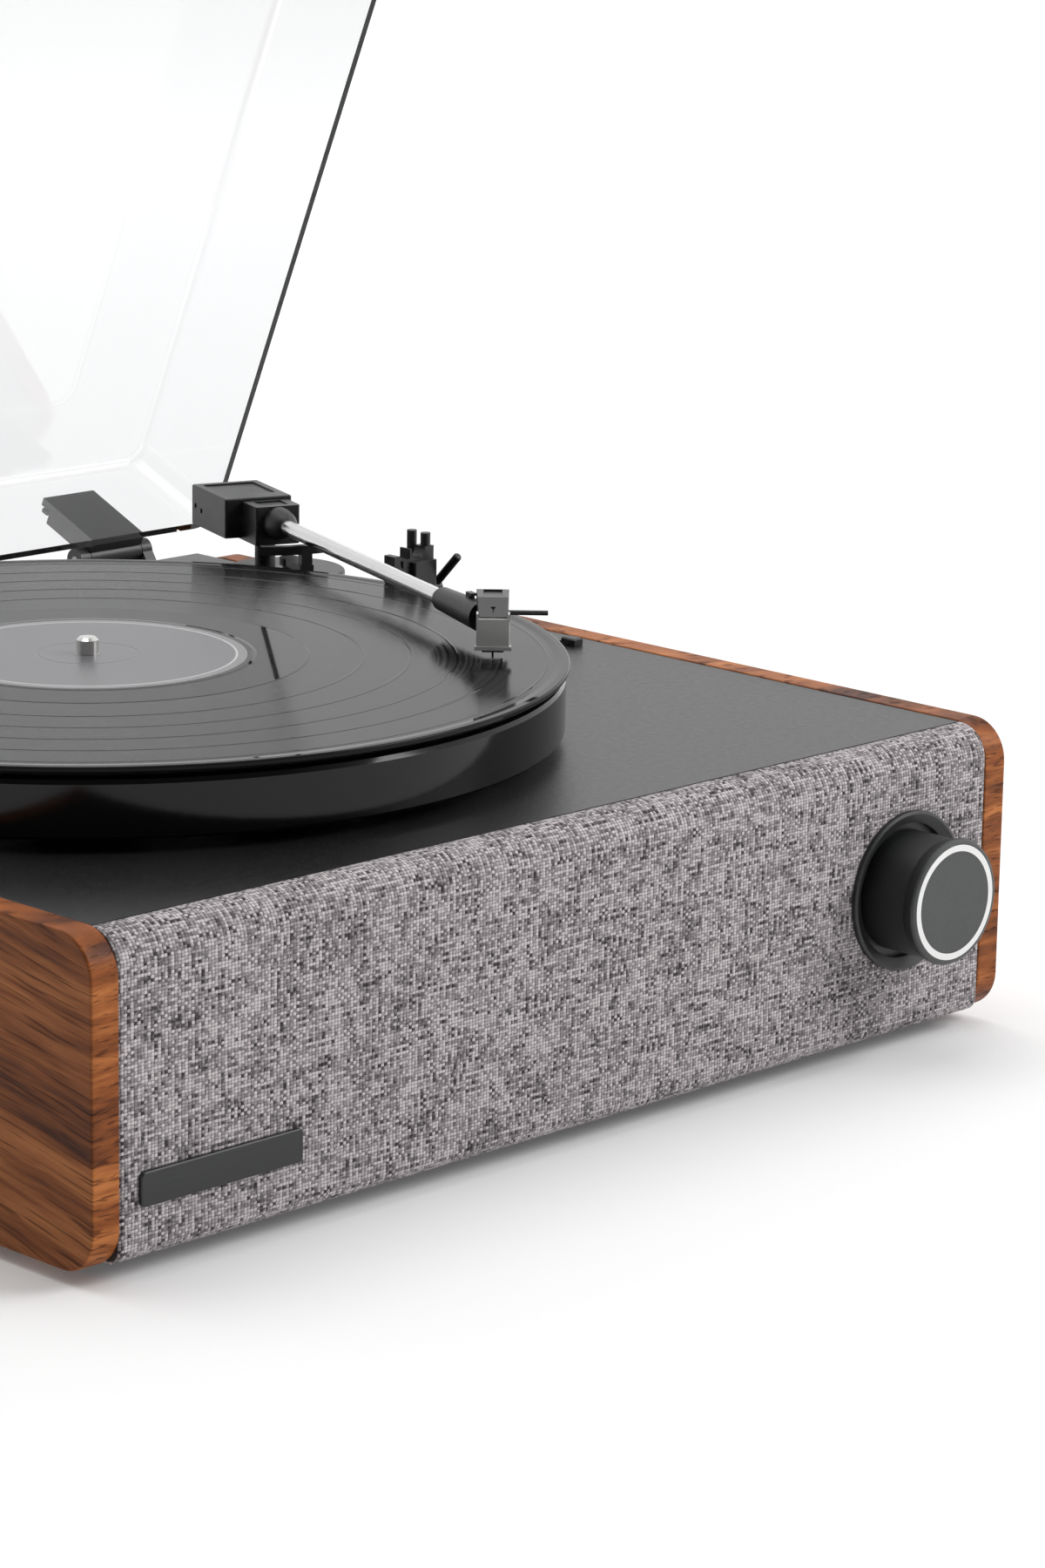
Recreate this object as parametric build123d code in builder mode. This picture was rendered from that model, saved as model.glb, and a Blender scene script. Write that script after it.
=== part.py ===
from build123d import *
import os
from math import cos, radians, sin

os.makedirs("parts", exist_ok=True)

# Turntable record player. Millimetres. +Z up, +Y to the back, +X to the right along the front.
# The origin is the middle of the footprint on the surface that the feet stand on.
# The arm is on the record and the dust cover stands open.

# ---------------------------------------------------------------- driving dimensions
cabinet_width = 385.0
cabinet_depth = 378.0
panel_height = 96.4
panel_thickness = 10.0
panel_corner_radius = 13.0
panel_edge_radius = 0.8
foot_height = 4.0

deck_drop = 0.25            # the deck lies this far below the top of the side panels
deck_thickness = 6.0
cloth_setback = 0.4         # the cloth lies this far behind the front edge of the side panels
cloth_top_drop = 0.4
cloth_thickness = 1.0
cloth_top_radius = 10.5
cloth_bottom_radius = 5.0
baffle_thickness = 10.0
bottom_setback = 1.4
bottom_thickness = 9.0
rear_thickness = 6.0
slide_fit = 0.2             # gap round a part that drops into a cut-out
running_fit = 0.05          # radial gap round a turning shaft
screw_fit = 0.05
body_gap = 0.4              # gap between curved faces that pass each other

spindle_x = -37.5
spindle_y = -6.0
spindle_radius = 3.67
spindle_tip_radius = 3.5
spindle_stand = 5.3
record_radius = 150.8
record_thickness = 1.95
label_radius = 50.0
label_thickness = 0.12
mat_thickness = 1.5
mat_radius = 146.0
platter_radius = 149.7
platter_height = 18.35
platter_float = 4.0         # the platter's rim clears the deck by this much
platter_top_thickness = 5.0
platter_rim_thickness = 9.0
hub_radius = 14.0
hub_height = 7.5
drive_ring_radius = 104.0
drive_ring_wall = 5.0
drive_ring_height = 10.0
bearing_bore_depth = 36.0
bearing_wall = 4.4
bearing_flange_radius = 20.0
bearing_flange_thickness = 2.5

pulley_distance = 115.0
pulley_bearing = 140.0      # degrees, direction of the motor from the spindle
pulley_radius = 6.0
pulley_flange_radius = 7.5
pulley_height = 8.8
pulley_top_gap = 0.7
belt_thickness = 0.6
belt_width = 4.6
motor_radius = 18.0
motor_height = 30.0
motor_shaft_radius = 1.0
grommet_height = 3.0
grommet_radius = 4.5
grommet_circle = 22.0

pivot_from_spindle_x = 163.2
pivot_from_spindle_y = 96.3
tube_heading = 250.0        # degrees, direction from the pivot to the head
head_offset = 24.7          # degrees, how far the head turns in from the tube
tube_reach = 187.4          # from the pivot to the bend
stylus_reach = 13.0         # from the bend to the stylus tip
tube_above_record = 9.0
tube_radius = 2.7
tube_bore = 2.2
tube_end = 165.0
housing_front = 11.8
housing_width = 16.5
housing_bottom = -7.5       # heights of the arm's pieces are from the tube's axis
housing_top = 6.0
housing_wall = 2.4
weight_box_length = 32.0
weight_box_width = 25.0
weight_box_joint = -1.0
weight_box_shift = -2.0
weight_box_bottom = -6.8
weight_box_top = 7.0
yoke_size = 7.6
pivot_pin_radius = 1.0
arm_shaft_radius = 3.0
collar_length = 10.0
collar_radius = 5.8
head_collar_start = 148.0
head_collar_end = 180.0
head_collar_small = 3.9
head_collar_large = 4.9

base_radius = 21.0
base_height = 16.3
base_shift_x = 7.1
base_shift_y = -2.6
plunger_radius = 2.5
plunger_reach = 22.0
lift_bar_reach = 36.0
lift_bar_width = 3.0
lift_bar_gap = 0.5
lift_bar_half_angle = 19.0
lift_bar_middle = -6.0      # degrees, from the tube towards the outside

rest_x = 126.0
rest_y = 16.5
rest_seat_radius = 3.1

knob_from_side = 47.35       # knob centre to the right side of the cabinet
knob_z = 53.05
knob_radius = 19.4
knob_lip_radius = 20.3
knob_stand = 20.4
knob_ring_outer = 18.46
knob_ring_inner = 16.4
bezel_radius = 25.75
bezel_stand = 1.8
bezel_dish_radius = 21.8
bezel_spigot_radius = 22.8
bezel_floor = 2.0
control_shaft_radius = 3.0

speaker_x = 78.0
speaker_margin = 0.9        # gap between a loudspeaker's flange and the panels above and below
speaker_rim = 8.0           # width of the loudspeaker's flange
speaker_screw_inset = 3.0

badge_from_side = 46.9       # badge centre to the left side of the cabinet
badge_z = 26.3
badge_length = 60.0
badge_height = 10.0
badge_thickness = 1.4

cover_side_setback = 0.5
cover_rear_setback = 0.5
cover_front_setback = 13.0
cover_height = 46.0
cover_wall = 2.5
cover_open_angle = 67.0
cover_lift = 0.8            # height of the bumpers that the closed cover stands on
hinge_from_side = 47.5
hinge_rise = 3.05           # pivot above the top of the side panels
hinge_behind = 6.6          # pivot behind the rear panel
hinge_width = 34.0
leaf_width = 24.0
leaf_height = 29.0
leaf_thickness = 3.0
knuckle_radius = 4.2
hinge_pin_radius = 1.5

# ---------------------------------------------------------------- levels and places
half_width = cabinet_width / 2
inner_half = half_width - panel_thickness
front_y = -cabinet_depth / 2
rear_y = cabinet_depth / 2
panel_bottom = foot_height
panel_top = foot_height + panel_height
deck_top = panel_top - deck_drop
deck_bottom = deck_top - deck_thickness
cloth_front = front_y + cloth_setback
cloth_top = panel_top - cloth_top_drop
cloth_bottom = panel_bottom + bottom_setback
baffle_front = cloth_front + cloth_thickness
baffle_rear = baffle_front + baffle_thickness
bottom_top = cloth_bottom + bottom_thickness
rear_inner = rear_y - rear_thickness

platter_bottom = deck_top + platter_float
platter_top = platter_bottom + platter_height
mat_top = platter_top + mat_thickness
record_top = mat_top + record_thickness
platter_under = platter_top - platter_top_thickness
hub_bottom = platter_under - hub_height

pivot_x = spindle_x + pivot_from_spindle_x
pivot_y = spindle_y + pivot_from_spindle_y
tube_z = record_top + tube_above_record
head_heading = tube_heading - head_offset
bend_x = pivot_x + tube_reach * cos(radians(tube_heading))
bend_y = pivot_y + tube_reach * sin(radians(tube_heading))
stylus_x = bend_x + stylus_reach * cos(radians(head_heading))
stylus_y = bend_y + stylus_reach * sin(radians(head_heading))
pulley_x = spindle_x + pulley_distance * cos(radians(pulley_bearing))
pulley_y = spindle_y + pulley_distance * sin(radians(pulley_bearing))
hinge_y = rear_y + hinge_behind
knob_x = half_width - knob_from_side
badge_x = badge_from_side - half_width
hinge_x = half_width - hinge_from_side
speaker_z = (deck_bottom + bottom_top) / 2
speaker_flange_radius = (deck_bottom - bottom_top) / 2 - speaker_margin
speaker_radius = speaker_flange_radius - speaker_rim
speaker_screw_circle = speaker_flange_radius - speaker_screw_inset
hinge_z = panel_top + hinge_rise


arm_along = (cos(radians(tube_heading)), sin(radians(tube_heading)), 0)
arm_left = (sin(radians(tube_heading)), -cos(radians(tube_heading)), 0)
head_back = (-cos(radians(head_heading)), -sin(radians(head_heading)), 0)
head_right = (-sin(radians(head_heading)), cos(radians(head_heading)), 0)
cover_up = (0, sin(radians(cover_open_angle)), cos(radians(cover_open_angle)))
arm_axis = Axis((pivot_x, pivot_y, tube_z), arm_along)

# Upright planes: through the tube's axis with x to the head and y up, and through the
# stylus with x from the stylus back to the tube and y up from the record.
arm_section = Plane(origin=(pivot_x, pivot_y, tube_z), x_dir=arm_along, z_dir=arm_left)
head_section = Plane(origin=(stylus_x, stylus_y, record_top), x_dir=head_back, z_dir=head_right)


def arm_plane(height):
    """Level plane along the tonearm: x to the head, y to the right, origin over the pivot."""
    return Plane(origin=(pivot_x, pivot_y, height), x_dir=arm_along, z_dir=(0, 0, 1))


def tube_plane(distance):
    """Plane square to the tube at a distance from the pivot."""
    place = (pivot_x + distance * arm_along[0], pivot_y + distance * arm_along[1], tube_z)
    return Plane(origin=place, x_dir=(0, 0, 1), z_dir=arm_along)


def head_plane(height):
    """Level plane along the headshell: x from the stylus back to the tube, y to the left."""
    return Plane(origin=(stylus_x, stylus_y, height), x_dir=head_back, z_dir=(0, 0, 1))


def face_plane(y):
    """Plane facing the front at depth y, with x to the right and z up."""
    return Plane.XZ.offset(-y)


def cover_plane(height):
    """Plane of the dust cover at its open angle; height is along the cover's own depth."""
    return Plane(origin=(0, hinge_y, hinge_z), x_dir=(1, 0, 0), z_dir=cover_up).offset(height)


# ---------------------------------------------------------------- side panels
# Solid walnut-veneered boards with rounded corners. The other panels are glued between them.
with BuildPart() as side_panel_left:
    with BuildSketch(Plane.YZ.offset(-half_width)):
        with Locations((0, panel_bottom + panel_height / 2)):
            RectangleRounded(cabinet_depth, panel_height, panel_corner_radius)
    extrude(amount=panel_thickness)
    fillet(side_panel_left.faces().filter_by(Axis.X).edges(), panel_edge_radius)
side_panel_left.part.label = "side_panel_left"
export_step(side_panel_left.part, "parts/side_panel_left.step")

with BuildPart() as side_panel_right:
    with BuildSketch(Plane.YZ.offset(inner_half)):
        with Locations((0, panel_bottom + panel_height / 2)):
            RectangleRounded(cabinet_depth, panel_height, panel_corner_radius)
    extrude(amount=panel_thickness)
    fillet(side_panel_right.faces().filter_by(Axis.X).edges(), panel_edge_radius)
side_panel_right.part.label = "side_panel_right"
export_step(side_panel_right.part, "parts/side_panel_right.step")

# ---------------------------------------------------------------- bottom panel and feet
foot_x = inner_half - 30.0
foot_y = cabinet_depth / 2 - 36.0
foot_radius = 12.0
foot_edge = 0.4
screw_radius = 1.5
screw_head_radius = 3.4
screw_head_height = 1.8
screw_length = 11.0

with BuildPart() as bottom_panel:
    with BuildSketch(Plane.XY.offset(cloth_bottom)):
        with Locations((0, (baffle_rear + rear_inner) / 2)):
            Rectangle(2 * inner_half, rear_inner - baffle_rear)
    extrude(amount=bottom_thickness)
    with BuildSketch(face_plane(rear_inner)):
        with Locations((0, cloth_bottom + bottom_thickness / 2)):
            with GridLocations(inner_half * 0.8, 1, 3, 1):
                Circle(screw_radius + screw_fit)
    extrude(amount=screw_length - rear_thickness + 2, mode=Mode.SUBTRACT)
bottom_panel.part.label = "bottom_panel"
export_step(bottom_panel.part, "parts/bottom_panel.step")

with BuildPart() as feet:
    with BuildSketch():
        with GridLocations(2 * foot_x, 2 * foot_y, 2, 2):
            Circle(foot_radius)
    extrude(amount=cloth_bottom)
    chamfer(feet.faces().filter_by(Axis.Z).sort_by(Axis.Z)[:4].edges(), foot_edge)
feet.part.label = "feet"
export_step(feet.part, "parts/feet.step")

# Three wood screws hold the rear panel to the bottom panel.
with BuildPart() as cabinet_screws:
    with BuildSketch(face_plane(rear_y)):
        with Locations((0, cloth_bottom + bottom_thickness / 2)):
            with GridLocations(inner_half * 0.8, 1, 3, 1):
                Circle(screw_head_radius)
    extrude(amount=screw_head_height)
    with BuildSketch(face_plane(rear_y - screw_head_height)):
        with Locations((0, cloth_bottom + bottom_thickness / 2)):
            with GridLocations(inner_half * 0.8, 1, 3, 1):
                Circle(screw_radius)
    extrude(amount=screw_length)
cabinet_screws.part.label = "cabinet_screws"
export_step(cabinet_screws.part, "parts/cabinet_screws.step")

# ---------------------------------------------------------------- front baffle and grille cloth
# The baffle's front edges are rounded, and the cloth is stretched round them.
with BuildPart() as front_baffle:
    with BuildSketch(Plane.YZ.offset(-inner_half)) as baffle_section:
        with Locations(((baffle_front + baffle_rear) / 2, (cloth_top + cloth_bottom) / 2)):
            Rectangle(baffle_thickness, cloth_top - cloth_bottom - 2 * cloth_thickness)
        low_corner = baffle_section.vertices().group_by(Axis.X)[0].sort_by(Axis.Y)[0]
        fillet(low_corner, cloth_bottom_radius - cloth_thickness)
        high_corner = baffle_section.vertices().group_by(Axis.X)[0].sort_by(Axis.Y)[-1]
        fillet(high_corner, cloth_top_radius - cloth_thickness)
    extrude(amount=2 * inner_half)
    with BuildSketch(face_plane(baffle_rear)):
        with Locations((-speaker_x, speaker_z), (speaker_x, speaker_z)):
            Circle(speaker_radius)
        with Locations((knob_x, knob_z)):
            Circle(bezel_spigot_radius + slide_fit)
    extrude(amount=baffle_thickness, mode=Mode.SUBTRACT)
    with BuildSketch(face_plane(baffle_rear)):
        for x in (-speaker_x, speaker_x):
            with Locations((x, speaker_z)):
                with PolarLocations(speaker_screw_circle, 4, 45):
                    Circle(screw_radius + screw_fit)
    extrude(amount=baffle_thickness - 2, mode=Mode.SUBTRACT)
front_baffle.part.label = "front_baffle"
export_step(front_baffle.part, "parts/front_baffle.step")

with BuildPart() as grille_cloth:
    with BuildSketch(Plane.YZ.offset(-inner_half)) as cloth_section:
        with Locations(((cloth_front + baffle_rear) / 2, (cloth_top + cloth_bottom) / 2)):
            Rectangle(baffle_rear - cloth_front, cloth_top - cloth_bottom)
        low_corner = cloth_section.vertices().group_by(Axis.X)[0].sort_by(Axis.Y)[0]
        fillet(low_corner, cloth_bottom_radius)
        high_corner = cloth_section.vertices().group_by(Axis.X)[0].sort_by(Axis.Y)[-1]
        fillet(high_corner, cloth_top_radius)
    extrude(amount=2 * inner_half)
    with BuildSketch(Plane.YZ.offset(-inner_half)) as cloth_inside:
        with Locations(((baffle_front + baffle_rear) / 2, (cloth_top + cloth_bottom) / 2)):
            Rectangle(baffle_thickness, cloth_top - cloth_bottom - 2 * cloth_thickness)
        low_corner = cloth_inside.vertices().group_by(Axis.X)[0].sort_by(Axis.Y)[0]
        fillet(low_corner, cloth_bottom_radius - cloth_thickness)
        high_corner = cloth_inside.vertices().group_by(Axis.X)[0].sort_by(Axis.Y)[-1]
        fillet(high_corner, cloth_top_radius - cloth_thickness)
    extrude(amount=2 * inner_half, mode=Mode.SUBTRACT)
    with BuildSketch(face_plane(baffle_rear)):
        with Locations((knob_x, knob_z)):
            Circle(bezel_spigot_radius + slide_fit)
    extrude(amount=baffle_thickness + 2 * cloth_thickness, mode=Mode.SUBTRACT)
grille_cloth.part.label = "grille_cloth"
export_step(grille_cloth.part, "parts/grille_cloth.step")

# A blank metal plate glued on the cloth at the lower left.
with BuildPart() as badge_plate:
    with BuildSketch(face_plane(cloth_front)):
        with Locations((badge_x, badge_z)):
            RectangleRounded(badge_length, badge_height, 1.5)
    extrude(amount=badge_thickness)
    chamfer(badge_plate.faces().sort_by(Axis.Y)[0].edges(), 0.3)
badge_plate.part.label = "badge_plate"
export_step(badge_plate.part, "parts/badge_plate.step")

# ---------------------------------------------------------------- deck plate
deck_front = baffle_rear + slide_fit
selector_x = -inner_half + 30.0
selector_y = rear_y - 36.0
selector_shaft_radius = 2.9
stop_x = inner_half - 10.5
stop_y = -12.0
stop_travel = 5.0
stop_stem_length = 5.0
stop_stem_width = 3.4
arm_spigot_radius = 8.0
rest_plate_x = rest_x + 2.0
rest_plate_y = rest_y
rest_spigot_radius = 5.0

with BuildPart() as deck_plate:
    with BuildSketch(Plane.XY.offset(deck_bottom)):
        with Locations((0, (deck_front + rear_y) / 2)):
            Rectangle(2 * inner_half, rear_y - deck_front)
    extrude(amount=deck_thickness)
    side_edges = deck_plate.faces().sort_by(Axis.Z)[-1].edges().filter_by(Axis.Y)
    chamfer(side_edges, 0.6)
    with BuildSketch(Plane.XY.offset(deck_bottom)):
        with Locations((spindle_x, spindle_y)):
            Circle(spindle_radius + running_fit + bearing_wall + slide_fit)
        with Locations((pulley_x, pulley_y)):
            Circle(pulley_flange_radius + 2.5)
        with Locations((pivot_x, pivot_y)):
            Circle(arm_spigot_radius + slide_fit)
        with Locations((rest_plate_x, rest_plate_y)):
            Circle(rest_spigot_radius + slide_fit)
        with Locations((selector_x, selector_y)):
            Circle(selector_shaft_radius + running_fit)
        with Locations((stop_x, stop_y)):
            Rectangle(stop_stem_width + 2 * slide_fit, stop_stem_length + stop_travel + 2 * slide_fit)
    extrude(amount=deck_thickness, mode=Mode.SUBTRACT)
deck_plate.part.label = "deck_plate"
export_step(deck_plate.part, "parts/deck_plate.step")

# ---------------------------------------------------------------- rear panel and connectors
jack_x = 55.0
jack_z = 50.0
jack_plate_length = 92.0
jack_plate_height = 32.0
jack_plate_thickness = 1.5
jack_cutout_margin = 5.0
rca_spacing = 14.0
rca_left_x = jack_x + 4.0
rca_barrel_radius = 4.15
rca_barrel_length = 8.5
rca_flange_radius = 6.0
rca_flange_thickness = 1.2
rca_socket_radius = 1.7
power_x = jack_x - 28.0
power_bore_radius = 2.9
power_bore_depth = 9.0

with BuildPart() as rear_panel:
    with BuildSketch(Plane.XZ.offset(-rear_y)):
        with Locations((0, (cloth_bottom + deck_bottom) / 2)):
            Rectangle(2 * inner_half, deck_bottom - cloth_bottom)
        with Locations((jack_x, jack_z)):
            Rectangle(jack_plate_length - 2 * jack_cutout_margin,
                      jack_plate_height - 2 * jack_cutout_margin, mode=Mode.SUBTRACT)
        with Locations((0, cloth_bottom + bottom_thickness / 2)):
            with GridLocations(inner_half * 0.8, 1, 3, 1):
                Circle(screw_radius + screw_fit, mode=Mode.SUBTRACT)
        for side_x in (-hinge_x, hinge_x):
            with Locations((side_x, panel_top - 16.0)):
                with GridLocations(hinge_width - 10.0, 1, 2, 1):
                    Circle(screw_radius + screw_fit, mode=Mode.SUBTRACT)
    extrude(amount=rear_thickness)
    with BuildSketch(Plane.XZ.offset(-rear_y)):
        with Locations((0, cloth_bottom + bottom_thickness / 2)):
            with GridLocations(inner_half * 0.8, 1, 3, 1):
                Circle(screw_head_radius + screw_fit)
    extrude(amount=screw_head_height, mode=Mode.SUBTRACT)
rear_panel.part.label = "rear_panel"
export_step(rear_panel.part, "parts/rear_panel.step")

with BuildPart() as jack_plate:
    with BuildSketch(face_plane(rear_y + jack_plate_thickness)):
        with Locations((jack_x, jack_z)):
            RectangleRounded(jack_plate_length, jack_plate_height, 3)
        with Locations((rca_left_x, jack_z), (rca_left_x + rca_spacing, jack_z)):
            Circle(rca_barrel_radius + screw_fit, mode=Mode.SUBTRACT)
        with Locations((power_x, jack_z)):
            Circle(power_bore_radius, mode=Mode.SUBTRACT)
    extrude(amount=jack_plate_thickness)
jack_plate.part.label = "jack_plate"
export_step(jack_plate.part, "parts/jack_plate.step")

# Two line-out jacks: a plated barrel with a flange outside and a body behind the plate.
with BuildPart() as rca_jacks:
    with BuildSketch(face_plane(rear_y + jack_plate_thickness + rca_flange_thickness)):
        with Locations((rca_left_x, jack_z), (rca_left_x + rca_spacing, jack_z)):
            Circle(rca_flange_radius)
    extrude(amount=rca_flange_thickness)
    barrel_end = rear_y + jack_plate_thickness + rca_flange_thickness + rca_barrel_length
    with BuildSketch(face_plane(barrel_end)):
        with Locations((rca_left_x, jack_z), (rca_left_x + rca_spacing, jack_z)):
            Circle(rca_barrel_radius)
    extrude(amount=barrel_end - rear_y + rear_thickness + 3)
    with BuildSketch(face_plane(barrel_end)):
        with Locations((rca_left_x, jack_z), (rca_left_x + rca_spacing, jack_z)):
            Circle(rca_socket_radius)
    extrude(amount=rca_barrel_length, mode=Mode.SUBTRACT)
rca_jacks.part.label = "rca_jacks"
export_step(rca_jacks.part, "parts/rca_jacks.step")

# Low-voltage inlet behind the plate, with its centre pin.
with BuildPart() as power_jack:
    with BuildSketch(face_plane(rear_y)):
        with Locations((power_x, jack_z)):
            Rectangle(11, 11)
    extrude(amount=power_bore_depth + 3)
    with BuildSketch(face_plane(rear_y)):
        with Locations((power_x, jack_z)):
            Circle(power_bore_radius)
            Circle(motor_shaft_radius, mode=Mode.SUBTRACT)
    extrude(amount=power_bore_depth, mode=Mode.SUBTRACT)
power_jack.part.label = "power_jack"
export_step(power_jack.part, "parts/power_jack.step")

# ---------------------------------------------------------------- loudspeakers
frame_thickness = 3.0
basket_depth = 24.0
basket_wall = 2.0
magnet_radius = 22.0
magnet_depth = 12.0
pole_radius = 15.0
cone_wall = 0.8
cone_depth = 13.0
cone_surround = 4.0
cap_radius = 9.0
basket_bottom = basket_depth + frame_thickness

with BuildPart() as speaker_frame_left:
    with BuildSketch(Plane(origin=(-speaker_x, baffle_rear, speaker_z), x_dir=(1, 0, 0), z_dir=(0, 0, 1))):
        with BuildLine():
            Polyline((speaker_radius, 0), (speaker_flange_radius, 0),
                     (speaker_flange_radius, frame_thickness),
                     (speaker_radius + basket_wall, frame_thickness), (magnet_radius, basket_depth),
                     (magnet_radius, basket_bottom), (pole_radius, basket_bottom),
                     (pole_radius, basket_depth), (magnet_radius - basket_wall, basket_depth),
                     (speaker_radius, frame_thickness), close=True)
        make_face()
    revolve(axis=Axis((-speaker_x, baffle_rear, speaker_z), (0, 1, 0)))
    with BuildSketch(face_plane(baffle_rear)):
        with Locations((-speaker_x, speaker_z)):
            with PolarLocations(speaker_screw_circle, 4, 45):
                Circle(screw_radius + screw_fit)
    extrude(amount=-frame_thickness, mode=Mode.SUBTRACT)
speaker_frame_left.part.label = "speaker_frame_left"
export_step(speaker_frame_left.part, "parts/speaker_frame_left.step")

with BuildPart() as speaker_cone_left:
    with BuildSketch(Plane(origin=(-speaker_x, baffle_rear, speaker_z), x_dir=(1, 0, 0), z_dir=(0, 0, 1))):
        with BuildLine():
            Polyline((speaker_radius, 1), (speaker_radius - cone_surround, 1),
                     (cap_radius, cone_depth), (0, cone_depth - 2), (0, cone_depth - 2 + cone_wall),
                     (cap_radius, cone_depth + cone_wall),
                     (speaker_radius - cone_surround, 1 + cone_wall),
                     (speaker_radius, 1 + cone_wall), close=True)
        make_face()
    revolve(axis=Axis((-speaker_x, baffle_rear, speaker_z), (0, 1, 0)))
speaker_cone_left.part.label = "speaker_cone_left"
export_step(speaker_cone_left.part, "parts/speaker_cone_left.step")

with BuildPart() as speaker_magnet_left:
    with BuildSketch(face_plane(baffle_rear + basket_bottom)):
        with Locations((-speaker_x, speaker_z)):
            Circle(magnet_radius)
    extrude(amount=-magnet_depth)
    chamfer(speaker_magnet_left.faces().sort_by(Axis.Y)[-1].edges(), 1)
speaker_magnet_left.part.label = "speaker_magnet_left"
export_step(speaker_magnet_left.part, "parts/speaker_magnet_left.step")

with BuildPart() as speaker_frame_right:
    with BuildSketch(Plane(origin=(speaker_x, baffle_rear, speaker_z), x_dir=(1, 0, 0), z_dir=(0, 0, 1))):
        with BuildLine():
            Polyline((speaker_radius, 0), (speaker_flange_radius, 0),
                     (speaker_flange_radius, frame_thickness),
                     (speaker_radius + basket_wall, frame_thickness), (magnet_radius, basket_depth),
                     (magnet_radius, basket_bottom), (pole_radius, basket_bottom),
                     (pole_radius, basket_depth), (magnet_radius - basket_wall, basket_depth),
                     (speaker_radius, frame_thickness), close=True)
        make_face()
    revolve(axis=Axis((speaker_x, baffle_rear, speaker_z), (0, 1, 0)))
    with BuildSketch(face_plane(baffle_rear)):
        with Locations((speaker_x, speaker_z)):
            with PolarLocations(speaker_screw_circle, 4, 45):
                Circle(screw_radius + screw_fit)
    extrude(amount=-frame_thickness, mode=Mode.SUBTRACT)
speaker_frame_right.part.label = "speaker_frame_right"
export_step(speaker_frame_right.part, "parts/speaker_frame_right.step")

with BuildPart() as speaker_cone_right:
    with BuildSketch(Plane(origin=(speaker_x, baffle_rear, speaker_z), x_dir=(1, 0, 0), z_dir=(0, 0, 1))):
        with BuildLine():
            Polyline((speaker_radius, 1), (speaker_radius - cone_surround, 1),
                     (cap_radius, cone_depth), (0, cone_depth - 2), (0, cone_depth - 2 + cone_wall),
                     (cap_radius, cone_depth + cone_wall),
                     (speaker_radius - cone_surround, 1 + cone_wall),
                     (speaker_radius, 1 + cone_wall), close=True)
        make_face()
    revolve(axis=Axis((speaker_x, baffle_rear, speaker_z), (0, 1, 0)))
speaker_cone_right.part.label = "speaker_cone_right"
export_step(speaker_cone_right.part, "parts/speaker_cone_right.step")

with BuildPart() as speaker_magnet_right:
    with BuildSketch(face_plane(baffle_rear + basket_bottom)):
        with Locations((speaker_x, speaker_z)):
            Circle(magnet_radius)
    extrude(amount=-magnet_depth)
    chamfer(speaker_magnet_right.faces().sort_by(Axis.Y)[-1].edges(), 1)
speaker_magnet_right.part.label = "speaker_magnet_right"
export_step(speaker_magnet_right.part, "parts/speaker_magnet_right.step")

with BuildPart() as speaker_screws:
    for centre_x in (-speaker_x, speaker_x):
        with BuildSketch(face_plane(baffle_rear + frame_thickness)):
            with Locations((centre_x, speaker_z)):
                with PolarLocations(speaker_screw_circle, 4, 45):
                    Circle(screw_radius)
        extrude(amount=frame_thickness + baffle_thickness - 3)
        with BuildSketch(face_plane(baffle_rear + frame_thickness)):
            with Locations((centre_x, speaker_z)):
                with PolarLocations(speaker_screw_circle, 4, 45):
                    Circle(screw_radius * 1.9)
        extrude(amount=-screw_head_height)
speaker_screws.part.label = "speaker_screws"
export_step(speaker_screws.part, "parts/speaker_screws.step")

# ---------------------------------------------------------------- volume control
# A shallow dished bezel fills the hole in the cloth; the knob runs clear of its floor.
knob_section = Plane(origin=(knob_x, cloth_front, knob_z), x_dir=(1, 0, 0), z_dir=(0, 0, 1))
knob_axis = Axis((knob_x, cloth_front, knob_z), (0, 1, 0))
bushing_radius = 3.5
floor_front = 2.0           # the bezel's floor lies this far behind the cloth
floor_rear = floor_front + bezel_floor
spigot_depth = 8.0
knob_back = floor_front - 0.6
shaft_end = -9.0
pot_width = 17.0
pot_depth = 9.5

with BuildPart() as knob_bezel:
    with BuildSketch(knob_section):
        with BuildLine():
            Polyline((bushing_radius + screw_fit, floor_front), (bezel_dish_radius, floor_front),
                     (bezel_dish_radius, -0.3), (bezel_radius - 0.9, -bezel_stand),
                     (bezel_radius, -bezel_stand + 0.4), (bezel_radius, 0),
                     (bezel_spigot_radius, 0), (bezel_spigot_radius, spigot_depth),
                     (bezel_dish_radius - 1, spigot_depth), (bezel_dish_radius - 1, floor_rear),
                     (bushing_radius + screw_fit, floor_rear), close=True)
        make_face()
    revolve(axis=knob_axis)
knob_bezel.part.label = "knob_bezel"
export_step(knob_bezel.part, "parts/knob_bezel.step")

with BuildPart() as volume_potentiometer:
    with BuildSketch(face_plane(cloth_front + floor_rear)):
        with Locations((knob_x, knob_z)):
            Rectangle(pot_width, pot_width)
    extrude(amount=-pot_depth)
    with BuildSketch(face_plane(cloth_front + floor_rear)):
        with Locations((knob_x, knob_z)):
            Circle(bushing_radius)
    extrude(amount=bezel_floor)
    with BuildSketch(face_plane(cloth_front + floor_front)):
        with Locations((knob_x, knob_z)):
            Circle(control_shaft_radius + running_fit)
    extrude(amount=-(bezel_floor + pot_depth - 1), mode=Mode.SUBTRACT)
volume_potentiometer.part.label = "volume_potentiometer"
export_step(volume_potentiometer.part, "parts/volume_potentiometer.step")

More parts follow.
